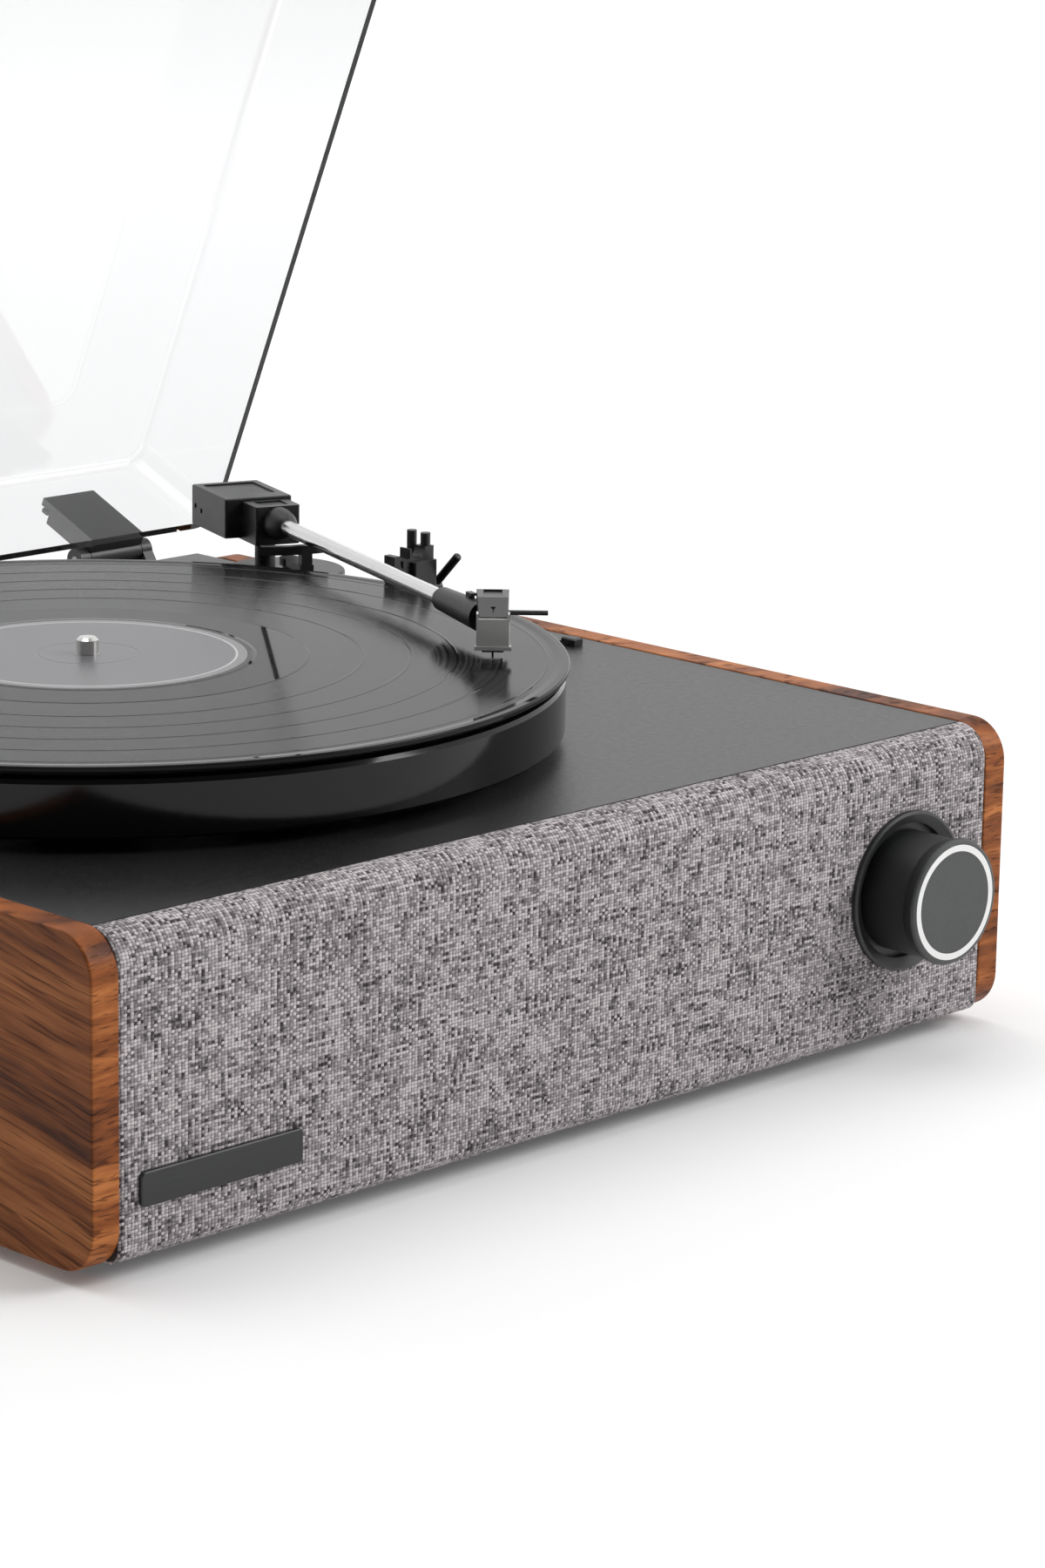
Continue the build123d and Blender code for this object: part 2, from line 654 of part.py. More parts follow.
with BuildPart() as knob_shaft:
    with BuildSketch(face_plane(cloth_front + floor_rear + pot_depth - 1.5)):
        with Locations((knob_x, knob_z)):
            Circle(control_shaft_radius)
    extrude(amount=floor_rear + pot_depth - 1.5 - shaft_end)
knob_shaft.part.label = "knob_shaft"
export_step(knob_shaft.part, "parts/knob_shaft.step")

with BuildPart() as volume_knob:
    with BuildSketch(knob_section):
        with BuildLine():
            Polyline((0, knob_back), (knob_radius - 0.4, knob_back), (knob_radius, knob_back - 0.4),
                     (knob_radius, -knob_stand + 5.0), (knob_lip_radius - 0.2, -knob_stand + 2.4),
                     (knob_lip_radius, -knob_stand + 1.2), (knob_lip_radius - 0.5, -knob_stand + 0.3),
                     (knob_lip_radius - 1.3, -knob_stand), (0, -knob_stand), close=True)
        make_face()
    revolve(axis=knob_axis)
    with BuildSketch(face_plane(cloth_front - knob_stand)):
        with Locations((knob_x, knob_z)):
            Circle(knob_ring_outer)
            Circle(knob_ring_inner, mode=Mode.SUBTRACT)
    extrude(amount=-0.8, mode=Mode.SUBTRACT)
    with BuildSketch(face_plane(cloth_front + knob_back)):
        with Locations((knob_x, knob_z)):
            Circle(control_shaft_radius)
    extrude(amount=knob_back - shaft_end, mode=Mode.SUBTRACT)
volume_knob.part.label = "volume_knob"
export_step(volume_knob.part, "parts/volume_knob.step")

with BuildPart() as knob_ring:
    with BuildSketch(face_plane(cloth_front - knob_stand)):
        with Locations((knob_x, knob_z)):
            Circle(knob_ring_outer)
            Circle(knob_ring_inner, mode=Mode.SUBTRACT)
    extrude(amount=-0.8)
knob_ring.part.label = "knob_ring"
export_step(knob_ring.part, "parts/knob_ring.step")

# ---------------------------------------------------------------- circuit board
board_x = 60.0
board_y = 120.0
board_length = 110.0
board_width = 70.0
board_thickness = 1.6
standoff_height = 8.0
board_bottom = bottom_top + standoff_height

with BuildPart() as board_standoffs:
    with BuildSketch(Plane.XY.offset(bottom_top)):
        with Locations((board_x, board_y)):
            with GridLocations(board_length - 10, board_width - 10, 2, 2):
                Circle(3)
    extrude(amount=standoff_height)
board_standoffs.part.label = "board_standoffs"
export_step(board_standoffs.part, "parts/board_standoffs.step")

with BuildPart() as circuit_board:
    with BuildSketch(Plane.XY.offset(board_bottom)):
        with Locations((board_x, board_y)):
            Rectangle(board_length, board_width)
    extrude(amount=board_thickness)
circuit_board.part.label = "circuit_board"
export_step(circuit_board.part, "parts/circuit_board.step")

# Two smoothing capacitors, an amplifier chip with its heat sink, a radio module and a socket.
with BuildPart() as board_components:
    with BuildSketch(Plane.XY.offset(board_bottom + board_thickness)):
        with Locations((board_x - 40, board_y + 15), (board_x - 24, board_y + 15)):
            Circle(6)
    extrude(amount=16)
    with BuildSketch(Plane.XY.offset(board_bottom + board_thickness)):
        with Locations((board_x + 5, board_y + 10)):
            Rectangle(24, 18)
    extrude(amount=12)
    with BuildSketch(Plane.XY.offset(board_bottom + board_thickness)):
        with Locations((board_x + 36, board_y + 10)):
            Rectangle(18, 24)
        with Locations((board_x - 20, board_y - 22)):
            Rectangle(30, 8)
    extrude(amount=4)
board_components.part.label = "board_components"
export_step(board_components.part, "parts/board_components.step")

# ---------------------------------------------------------------- platter bearing and spindle
bearing_bore = spindle_radius + running_fit
bearing_outer = bearing_bore + bearing_wall
bearing_top = hub_bottom - 1.2
bearing_floor = bearing_top - bearing_bore_depth

with BuildPart() as bearing_housing:
    with BuildSketch(Plane.XY.offset(bearing_floor - 2)):
        with Locations((spindle_x, spindle_y)):
            Circle(bearing_outer)
    extrude(amount=bearing_bore_depth + 2)
    with BuildSketch(Plane.XY.offset(deck_top)):
        with Locations((spindle_x, spindle_y)):
            Circle(bearing_flange_radius)
    extrude(amount=bearing_flange_thickness)
    with BuildSketch(Plane.XY.offset(bearing_floor)):
        with Locations((spindle_x, spindle_y)):
            Circle(bearing_bore)
    extrude(amount=bearing_bore_depth, mode=Mode.SUBTRACT)
bearing_housing.part.label = "bearing_housing"
export_step(bearing_housing.part, "parts/bearing_housing.step")

with BuildPart() as spindle:
    with BuildSketch(Plane.XY.offset(bearing_floor + 0.05)):
        with Locations((spindle_x, spindle_y)):
            Circle(spindle_radius)
    extrude(amount=record_top - bearing_floor)
    chamfer(spindle.faces().sort_by(Axis.Z)[0].edges(), 0.8)
    with BuildSketch(Plane.XY.offset(hub_bottom - 0.8)):
        with Locations((spindle_x, spindle_y)):
            Circle(spindle_radius + 3.4)
    extrude(amount=0.8)
    with BuildSketch(Plane.XY.offset(record_top)):
        with Locations((spindle_x, spindle_y)):
            Circle(spindle_tip_radius)
    extrude(amount=spindle_stand)
    chamfer(spindle.faces().sort_by(Axis.Z)[-1].edges(), 0.9)
spindle.part.label = "spindle"
export_step(spindle.part, "parts/spindle.step")

# ---------------------------------------------------------------- platter, mat, record
platter_section = Plane(origin=(spindle_x, spindle_y, 0), x_dir=(1, 0, 0), z_dir=(0, -1, 0))
platter_axis = Axis((spindle_x, spindle_y, 0), (0, 0, 1))
rim_inner = platter_radius - platter_rim_thickness
ring_inner = drive_ring_radius - drive_ring_wall
ring_bottom = platter_under - drive_ring_height

with BuildPart() as platter:
    with BuildSketch(platter_section):
        with BuildLine():
            Polyline((spindle_radius, platter_top), (platter_radius - 2.0, platter_top),
                     (platter_radius - 0.6, platter_top - 0.6), (platter_radius, platter_top - 2.0),
                     (platter_radius, platter_bottom + 1.0), (platter_radius - 1.0, platter_bottom),
                     (rim_inner, platter_bottom), (rim_inner, platter_under),
                     (drive_ring_radius, platter_under), (drive_ring_radius, ring_bottom),
                     (ring_inner, ring_bottom), (ring_inner, platter_under),
                     (hub_radius, platter_under), (hub_radius, hub_bottom),
                     (spindle_radius, hub_bottom), close=True)
        make_face()
    revolve(axis=platter_axis)
platter.part.label = "platter"
export_step(platter.part, "parts/platter.step")

with BuildPart() as slip_mat:
    with BuildSketch(Plane.XY.offset(platter_top)):
        with Locations((spindle_x, spindle_y)):
            Circle(mat_radius)
            Circle(spindle_radius, mode=Mode.SUBTRACT)
    extrude(amount=mat_thickness)
slip_mat.part.label = "slip_mat"
export_step(slip_mat.part, "parts/slip_mat.step")

with BuildPart() as record:
    with BuildSketch(Plane.XY.offset(mat_top)):
        with Locations((spindle_x, spindle_y)):
            Circle(record_radius)
            Circle(spindle_radius, mode=Mode.SUBTRACT)
    extrude(amount=record_thickness)
    outer_edges = record.edges().filter_by(GeomType.CIRCLE).sort_by(SortBy.RADIUS)[-2:]
    fillet(outer_edges, 0.6)
    with BuildSketch(Plane.XY.offset(record_top)):
        with Locations((spindle_x, spindle_y)):
            Circle(label_radius)
            Circle(spindle_radius, mode=Mode.SUBTRACT)
    extrude(amount=-label_thickness, mode=Mode.SUBTRACT)
record.part.label = "record"
export_step(record.part, "parts/record.step")

with BuildPart() as record_label:
    with BuildSketch(Plane.XY.offset(record_top - label_thickness)):
        with Locations((spindle_x, spindle_y)):
            Circle(label_radius)
            Circle(spindle_radius, mode=Mode.SUBTRACT)
    extrude(amount=label_thickness)
record_label.part.label = "record_label"
export_step(record_label.part, "parts/record_label.step")

# ---------------------------------------------------------------- motor, pulley and belt
motor_top = deck_bottom - grommet_height
pulley_top = platter_under - pulley_top_gap
pulley_bottom = pulley_top - pulley_height
flange_height = 1.6
belt_middle = (pulley_top + pulley_bottom) / 2

with BuildPart() as motor:
    with BuildSketch(Plane.XY.offset(motor_top - motor_height)):
        with Locations((pulley_x, pulley_y)):
            Circle(motor_radius)
    extrude(amount=motor_height)
    chamfer(motor.faces().sort_by(Axis.Z)[0].edges(), 1)
    with BuildSketch(Plane.XY.offset(motor_top - 1.5)):
        with Locations((pulley_x, pulley_y)):
            Circle(grommet_circle + grommet_radius)
    extrude(amount=1.5)
    with BuildSketch(Plane.XY.offset(motor_top)):
        with Locations((pulley_x, pulley_y)):
            Circle(motor_shaft_radius + running_fit)
    extrude(amount=-(motor_height - 4), mode=Mode.SUBTRACT)
motor.part.label = "motor"
export_step(motor.part, "parts/motor.step")

with BuildPart() as motor_grommets:
    with BuildSketch(Plane.XY.offset(motor_top)):
        with Locations((pulley_x, pulley_y)):
            with PolarLocations(grommet_circle, 3):
                Circle(grommet_radius)
    extrude(amount=grommet_height)
motor_grommets.part.label = "motor_grommets"
export_step(motor_grommets.part, "parts/motor_grommets.step")

with BuildPart() as motor_pulley:
    with BuildSketch(Plane.XY.offset(pulley_bottom)):
        with Locations((pulley_x, pulley_y)):
            Circle(pulley_flange_radius)
    extrude(amount=flange_height)
    with BuildSketch(Plane.XY.offset(pulley_bottom)):
        with Locations((pulley_x, pulley_y)):
            Circle(pulley_radius)
    extrude(amount=pulley_height)
    with BuildSketch(Plane.XY.offset(pulley_top - flange_height)):
        with Locations((pulley_x, pulley_y)):
            Circle(pulley_flange_radius)
    extrude(amount=flange_height)
    with BuildSketch(Plane.XY.offset(pulley_bottom)):
        with Locations((pulley_x, pulley_y)):
            Circle(motor_shaft_radius)
    extrude(amount=-(pulley_bottom - motor_top + motor_height - 4.5))
motor_pulley.part.label = "motor_pulley"
export_step(motor_pulley.part, "parts/motor_pulley.step")

belt_bottom = belt_middle - belt_width / 2
with BuildPart() as drive_belt:
    with BuildSketch(Plane.XY.offset(belt_bottom)):
        with Locations((spindle_x, spindle_y)):
            Circle(drive_ring_radius + running_fit + belt_thickness)
        with Locations((pulley_x, pulley_y)):
            Circle(pulley_radius + running_fit + belt_thickness)
        make_hull()
    extrude(amount=belt_width)
    with BuildSketch(Plane.XY.offset(belt_bottom)):
        with Locations((spindle_x, spindle_y)):
            Circle(drive_ring_radius + running_fit)
        with Locations((pulley_x, pulley_y)):
            Circle(pulley_radius + running_fit)
        make_hull()
    extrude(amount=belt_width, mode=Mode.SUBTRACT)
drive_belt.part.label = "drive_belt"
export_step(drive_belt.part, "parts/drive_belt.step")

# ---------------------------------------------------------------- tonearm base and yoke
base_top = deck_top + base_height
plunger_x = pivot_x + plunger_reach * cos(radians(tube_heading))
plunger_y = pivot_y + plunger_reach * sin(radians(tube_heading))
spigot_bottom = deck_bottom - 4.0
shaft_bottom = spigot_bottom + 2.0

with BuildPart() as tonearm_base:
    with BuildSketch(Plane.XY.offset(deck_top)):
        with Locations((pivot_x + base_shift_x, pivot_y + base_shift_y)):
            Circle(base_radius)
        with Locations((plunger_x, plunger_y)):
            Circle(plunger_radius + 4.5)
    extrude(amount=base_height)
    fillet(tonearm_base.faces().sort_by(Axis.Z)[-1].edges(), 1)
    with BuildSketch(Plane.XY.offset(spigot_bottom)):
        with Locations((pivot_x, pivot_y)):
            Circle(arm_spigot_radius)
    extrude(amount=deck_top - spigot_bottom)
    with BuildSketch(Plane.XY.offset(base_top)):
        with Locations((pivot_x, pivot_y)):
            Circle(arm_shaft_radius + running_fit)
    extrude(amount=-(base_top - shaft_bottom + running_fit), mode=Mode.SUBTRACT)
    with BuildSketch(Plane.XY.offset(base_top)):
        with Locations((plunger_x, plunger_y)):
            Circle(plunger_radius + running_fit)
    extrude(amount=-(base_height - 3), mode=Mode.SUBTRACT)
tonearm_base.part.label = "tonearm_base"
export_step(tonearm_base.part, "parts/tonearm_base.step")

yoke_top = housing_top - housing_wall - 1.2
yoke_bottom = housing_bottom + 0.6
neck_radius = 3.6

with BuildPart() as tonearm_yoke:
    with BuildSketch(arm_plane(shaft_bottom)):
        Circle(arm_shaft_radius)
    extrude(amount=tube_z + yoke_bottom - shaft_bottom)
    with BuildSketch(arm_plane(base_top + 0.3)):
        Circle(neck_radius)
    extrude(amount=tube_z + yoke_bottom - base_top - 0.3)
    with BuildSketch(arm_plane(tube_z + yoke_bottom)):
        Rectangle(yoke_size, yoke_size)
    extrude(amount=yoke_top - yoke_bottom)
    with BuildSketch(arm_section):
        Circle(pivot_pin_radius + running_fit)
    extrude(amount=yoke_size, both=True, mode=Mode.SUBTRACT)
tonearm_yoke.part.label = "tonearm_yoke"
export_step(tonearm_yoke.part, "parts/tonearm_yoke.step")

# ---------------------------------------------------------------- pivot housing and its weight
# One moulding: a block round the yoke, with the tube in its front wall, and a wider box for the
# counterweight behind. Both are hollow from below.
housing_back = -12.0
housing_corner = 0.9
yoke_room_front = 8.8
yoke_room_back = -6.5
weight_start = -9.5
weight_end = weight_box_joint - weight_box_length + housing_wall
weight_gap = 0.1
weight_rise = 0.8
panel_recess = 0.5
side_hole = 1.7
housing_half = housing_width / 2
weight_middle = (weight_start + weight_end) / 2

with BuildPart() as pivot_housing:
    with BuildSketch(arm_plane(tube_z + housing_bottom)):
        with Locations(((housing_front + housing_back) / 2, 0)):
            RectangleRounded(housing_front - housing_back, housing_width, housing_corner)
    extrude(amount=housing_top - housing_bottom)
    with BuildSketch(arm_plane(tube_z + weight_box_bottom)):
        with Locations((weight_box_joint - weight_box_length / 2, weight_box_shift)):
            RectangleRounded(weight_box_length, weight_box_width, housing_corner)
    extrude(amount=weight_box_top - weight_box_bottom)
    chamfer(pivot_housing.faces().sort_by(Axis.Z)[-1].edges(), 0.4)
    with BuildSketch(arm_plane(tube_z + housing_bottom)):
        with Locations(((yoke_room_front + yoke_room_back) / 2, 0)):
            Rectangle(yoke_room_front - yoke_room_back, housing_width - 2 * housing_wall)
    extrude(amount=housing_top - housing_wall - housing_bottom, mode=Mode.SUBTRACT)
    with BuildSketch(arm_plane(tube_z + housing_bottom)):
        with Locations((weight_middle, weight_box_shift)):
            Rectangle(weight_start - weight_end, weight_box_width - 2 * housing_wall)
    extrude(amount=weight_box_top - housing_wall - housing_bottom, mode=Mode.SUBTRACT)
    with BuildSketch(arm_section):
        Circle(pivot_pin_radius)
    extrude(amount=housing_width, both=True, mode=Mode.SUBTRACT)
    with BuildSketch(tube_plane(yoke_room_front - 1)):
        Circle(tube_radius)
    extrude(amount=housing_front, mode=Mode.SUBTRACT)
    with BuildSketch(arm_plane(tube_z + weight_box_top)):
        with Locations((weight_box_joint - weight_box_length * 0.57, weight_box_shift)):
            RectangleRounded(weight_box_length * 0.66, weight_box_width - 6, 0.8)
    extrude(amount=-panel_recess, mode=Mode.SUBTRACT)
    with BuildSketch(arm_plane(tube_z + housing_top)):
        with Locations((housing_front / 2 - 0.8, 0)):
            RectangleRounded(housing_front / 2 + 1.6, housing_width - 6.5, 0.5)
    extrude(amount=-panel_recess, mode=Mode.SUBTRACT)
    with BuildSketch(arm_section.offset(weight_box_width / 2 - weight_box_shift)):
        with Locations((weight_end + 1.5, 0), (weight_end + 7.0, -1.0)):
            Rectangle(side_hole, side_hole)
    extrude(amount=-housing_wall, mode=Mode.SUBTRACT)
pivot_housing.part.label = "pivot_housing"
export_step(pivot_housing.part, "parts/pivot_housing.step")

with BuildPart() as counterweight:
    with BuildSketch(arm_plane(tube_z + weight_box_bottom + weight_rise)):
        with Locations((weight_middle, weight_box_shift)):
            Rectangle(weight_start - weight_end - 2 * weight_gap,
                      weight_box_width - 2 * housing_wall - 2 * weight_gap)
    extrude(amount=weight_box_top - housing_wall - weight_box_bottom - weight_rise)
counterweight.part.label = "counterweight"
export_step(counterweight.part, "parts/counterweight.step")

# Two short pins are pressed into the housing's walls and turn in the yoke.
pin_flush = 0.1
pin_inner = 0.8
with BuildPart() as pivot_pins:
    with BuildSketch(arm_section):
        Circle(pivot_pin_radius)
    extrude(amount=housing_half - pin_flush, both=True)
    with BuildSketch(arm_section):
        Circle(pivot_pin_radius + 1)
    extrude(amount=pin_inner, both=True, mode=Mode.SUBTRACT)
pivot_pins.part.label = "pivot_pins"
export_step(pivot_pins.part, "parts/pivot_pins.step")

# ---------------------------------------------------------------- tube and its collars
tube_start = yoke_room_front + 0.2

with BuildPart() as tonearm_tube:
    with BuildSketch(tube_plane(tube_start)):
        Circle(tube_radius)
        Circle(tube_bore, mode=Mode.SUBTRACT)
    extrude(amount=tube_end - tube_start)
tonearm_tube.part.label = "tonearm_tube"
export_step(tonearm_tube.part, "parts/tonearm_tube.step")

with BuildPart() as tube_collar:
    with BuildSketch(arm_section):
        with BuildLine():
            EllipticalCenterArc((housing_front, 0), collar_length, collar_radius, start_angle=0, arc_size=90)
            Polyline((housing_front, collar_radius), (housing_front, 0),
                     (housing_front + collar_length, 0))
        make_face()
    revolve(axis=arm_axis)
    with BuildSketch(tube_plane(housing_front - 1)):
        Circle(tube_radius)
    extrude(amount=collar_length + 2, mode=Mode.SUBTRACT)
tube_collar.part.label = "tube_collar"
export_step(tube_collar.part, "parts/tube_collar.step")

# A tapered sleeve joins the tube to the headshell. A small hook on its top takes a cap.
hook_length = 2.6
hook_width = 2.0
hook_rise = 2.4
hook_start = head_collar_end - 11.0

with BuildPart() as head_collar:
    with BuildSketch(arm_section):
        with BuildLine():
            Polyline((head_collar_start, 0), (head_collar_start, head_collar_small - 1.1),
                     (head_collar_start + 0.5, head_collar_small - 0.4),
                     (head_collar_start + 1.6, head_collar_small),
                     (head_collar_end, head_collar_large), (head_collar_end, 0), close=True)
        make_face()
    revolve(axis=arm_axis)
    with BuildSketch(tube_plane(head_collar_start - 1)):
        Circle(tube_radius)
    extrude(amount=tube_end - head_collar_start + 1, mode=Mode.SUBTRACT)
    with BuildSketch(arm_section):
        with BuildLine():
            Polyline((hook_start, head_collar_small), (hook_start, head_collar_small + hook_rise),
                     (hook_start + hook_length * 1.5, head_collar_small + hook_rise),
                     (hook_start + hook_length * 1.5, head_collar_small + hook_rise - 0.9),
                     (hook_start + hook_length, head_collar_small + hook_rise - 1.2),
                     (hook_start + hook_length, head_collar_small), close=True)
        make_face()
    extrude(amount=hook_width / 2, both=True)
head_collar.part.label = "head_collar"
export_step(head_collar.part, "parts/head_collar.step")

# ---------------------------------------------------------------- headshell, cartridge, stylus
# Places along the head are from the stylus back to the tube; heights are from the record.
shell_nose = -1.5
shell_nose_height = 13.5
shell_flat = 12.3
shell_rear = 25.0
shell_top = 17.0
shell_block_bottom = 8.0
shell_block_front = 17.0
shell_low = 3.6
shell_low_rear = 14.5
shell_nose_half = 4.45
shell_rear_half = 5.2
cap_front = -2.2
cap_rear = 1.0
cap_half = 5.25
cap_top = 13.1
cap_bottom = 3.0
horn_top = 14.5
horn_rear = 2.2
horn_inner = 4.62
lip_half = 5.8
lip_height = 1.2
lift_at = 4.0
lift_height = 13.9
lift_radius = 0.8
lift_reach = 17.2

with BuildPart() as headshell:
    with BuildSketch(head_section):
        with BuildLine():
            Polyline((cap_rear, cap_top), (shell_nose, cap_top), (shell_nose, shell_nose_height),
                     (shell_flat, shell_top), (shell_rear, shell_top), (shell_rear, shell_block_bottom),
                     (shell_block_front, shell_block_bottom), (shell_low_rear, shell_low),
                     (cap_rear, shell_low), close=True)
        make_face()
    extrude(amount=shell_rear_half, both=True)
    with BuildSketch(head_plane(record_top)):
        with BuildLine():
            Polyline((shell_nose, -shell_nose_half), (shell_rear, -shell_rear_half),
                     (shell_rear, shell_rear_half), (shell_nose, shell_nose_half), close=True)
        make_face()
    extrude(amount=shell_top, mode=Mode.INTERSECT)
    with BuildSketch(head_plane(record_top + shell_top)):
        with Locations(((shell_rear + shell_flat + 2) / 2, 0)):
            Rectangle(shell_rear - shell_flat - 3.2, 6)
    extrude(amount=-0.6, mode=Mode.SUBTRACT)
    with BuildSketch(head_plane(record_top + shell_top)):
        with Locations((5.0, 0)):
            Circle(0.8)
        with Locations((2.2, 0)):
            Rectangle(4.4, 0.4)
    extrude(amount=-2.8, mode=Mode.SUBTRACT)
    with BuildSketch(arm_section):
        with BuildLine():
            Polyline((head_collar_start, 0), (head_collar_start, head_collar_small),
                     (head_collar_start + 1.6, head_collar_small),
                     (head_collar_end, head_collar_large), (head_collar_end, 0), close=True)
        make_face()
    revolve(axis=arm_axis, mode=Mode.SUBTRACT)
    with BuildSketch(head_section.offset(shell_nose_half - 1)):
        with Locations((lift_at, lift_height)):
            Circle(lift_radius)
    extrude(amount=lift_reach - shell_nose_half + 1)
headshell.part.label = "headshell"
export_step(headshell.part, "parts/headshell.step")

# The cartridge's front cap, with a horn at each side of the headshell's nose and a flared foot.
with BuildPart() as cartridge:
    with BuildSketch(head_plane(record_top + cap_bottom)):
        with Locations(((cap_front + cap_rear) / 2, 0)):
            Rectangle(cap_rear - cap_front, 2 * cap_half)
    extrude(amount=cap_top - cap_bottom)
    fillet(cartridge.faces().sort_by(Axis((stylus_x, stylus_y, 0), head_back))[0].edges(), 0.4)
    with BuildSketch(head_plane(record_top + cap_bottom)):
        with Locations(((cap_front + cap_rear) / 2 - 0.2, 0)):
            Rectangle(cap_rear - cap_front + 0.4, 2 * lip_half)
    extrude(amount=lip_height)
    with BuildSketch(head_plane(record_top + cap_top - 1)):
        with Locations((horn_rear / 2 + cap_front / 2, (horn_inner + cap_half) / 2),
                       (horn_rear / 2 + cap_front / 2, -(horn_inner + cap_half) / 2)):
            Rectangle(horn_rear - cap_front, cap_half - horn_inner)
    extrude(amount=horn_top - cap_top + 1)
    with BuildSketch(head_section):
        with BuildLine():
            Polyline((cap_rear, shell_low - 1), (cap_rear, cap_top), (horn_rear, cap_top),
                     (horn_rear, shell_low - 1), close=True)
        make_face()
    extrude(amount=lip_half, both=True, mode=Mode.SUBTRACT)
cartridge.part.label = "cartridge"
export_step(cartridge.part, "parts/cartridge.step")

# The stylus hangs under the cap: a moulded holder, a thin cantilever and the tip.
holder_rear = 10.0
holder_half = 3.4
holder_bottom = 1.5
tip_gap = 0.05
with BuildPart() as stylus:
    with BuildSketch(head_section):
        with BuildLine():
            Polyline((cap_rear, cap_bottom), (holder_rear, cap_bottom), (holder_rear, shell_low),
                     (cap_rear, shell_low), close=True)
        make_face()
    extrude(amount=holder_half, both=True)
    with BuildSketch(head_section):
        with BuildLine():
            Polyline((shell_nose, cap_bottom), (shell_nose + 0.4, cap_bottom - 0.7),
                     (cap_rear + 1, holder_bottom), (holder_rear, holder_bottom + 0.3),
                     (holder_rear, cap_bottom), close=True)
        make_face()
    extrude(amount=holder_half, both=True)
    with BuildSketch(head_section):
        with BuildLine():
            Polyline((4, holder_bottom + 0.5), (4, holder_bottom), (0.3, 0.45), (0, tip_gap),
                     (-0.3, 0.45), (-0.3, 0.9), (2.5, holder_bottom + 0.5), close=True)
        make_face()
    extrude(amount=0.3, both=True)
stylus.part.label = "stylus"
export_step(stylus.part, "parts/stylus.step")

# ---------------------------------------------------------------- lift bar
# A plunger in the base carries a curved bar that lies under the tube wherever the arm swings.
lift_top = tube_z - tube_radius - lift_bar_gap
lift_arm_bottom = base_top + 6.0
lift_arm_thickness = 2.5
lift_inner = lift_bar_reach - lift_bar_width / 2
lift_outer = lift_bar_reach + lift_bar_width / 2
lift_from = lift_bar_middle - lift_bar_half_angle
lift_depth = 3.0

with BuildPart() as lift_bar:
    with BuildSketch(Plane.XY.offset(base_top - base_height + 3.1)):
        with Locations((plunger_x, plunger_y)):
            Circle(plunger_radius)
    extrude(amount=lift_arm_bottom - base_top + base_height - 3.1)
    with BuildSketch(arm_plane(lift_arm_bottom)):
        with Locations(((plunger_reach + lift_outer) / 2, 0)):
            Rectangle(lift_outer - plunger_reach, 5)
        with Locations((plunger_reach, 0)):
            Circle(plunger_radius + 1)
    extrude(amount=lift_arm_thickness)
    with BuildSketch(arm_plane(lift_arm_bottom)):
        with Locations((lift_bar_reach, 0)):
            Rectangle(lift_bar_width, 4)
    extrude(amount=lift_top - lift_arm_bottom)
    with BuildSketch(arm_plane(lift_top - lift_depth)):
        with BuildLine():
            inner_arc = CenterArc((0, 0), lift_inner, lift_from, 2 * lift_bar_half_angle)
            outer_arc = CenterArc((0, 0), lift_outer, lift_from, 2 * lift_bar_half_angle)
            Line(inner_arc @ 0, outer_arc @ 0)
            Line(inner_arc @ 1, outer_arc @ 1)
        make_face()
    extrude(amount=lift_depth)
lift_bar.part.label = "lift_bar"
export_step(lift_bar.part, "parts/lift_bar.step")

# ---------------------------------------------------------------- arm rest and cue lever
# A comb-shaped post with a round seat for the tube, two tall pegs and a low finger at the side.
rest_base_thickness = 3.0
rest_base_length = 22.0
rest_base_width = 26.0
rest_depth = 5.0
rest_left = -11.2           # places across the rest are from the middle of the seat
finger_right = -8.7
finger_top = 1.3            # heights are from the tube's axis
tooth_left = -7.0
tooth_right = -5.0
tooth_top = 3.5
cup_left = -3.9
cup_top = 0.55
block_right = 7.2
slot_top = -23.0
block_top = -4.0
block_width = 10.0
peg_radius = 1.7
peg_top = 4.9
peg_x = rest_x + 5.1
peg_front_y = rest_y - 0.6
peg_rear_y = rest_y + 6.0
lever_y = rest_y + 0.5
lever_z = deck_top + 19.8
lever_hub_radius = 4.0
lever_hub_width = 4.0
lever_stub_radius = 1.5
lever_stub_length = 6.0
lever_rod_radius = 1.45
lever_rod_length = 18.1
lever_angle = 46.0          # the rod's slope at the front, from level
lever_gap = 0.3
lever_x = rest_x + block_right + lever_gap

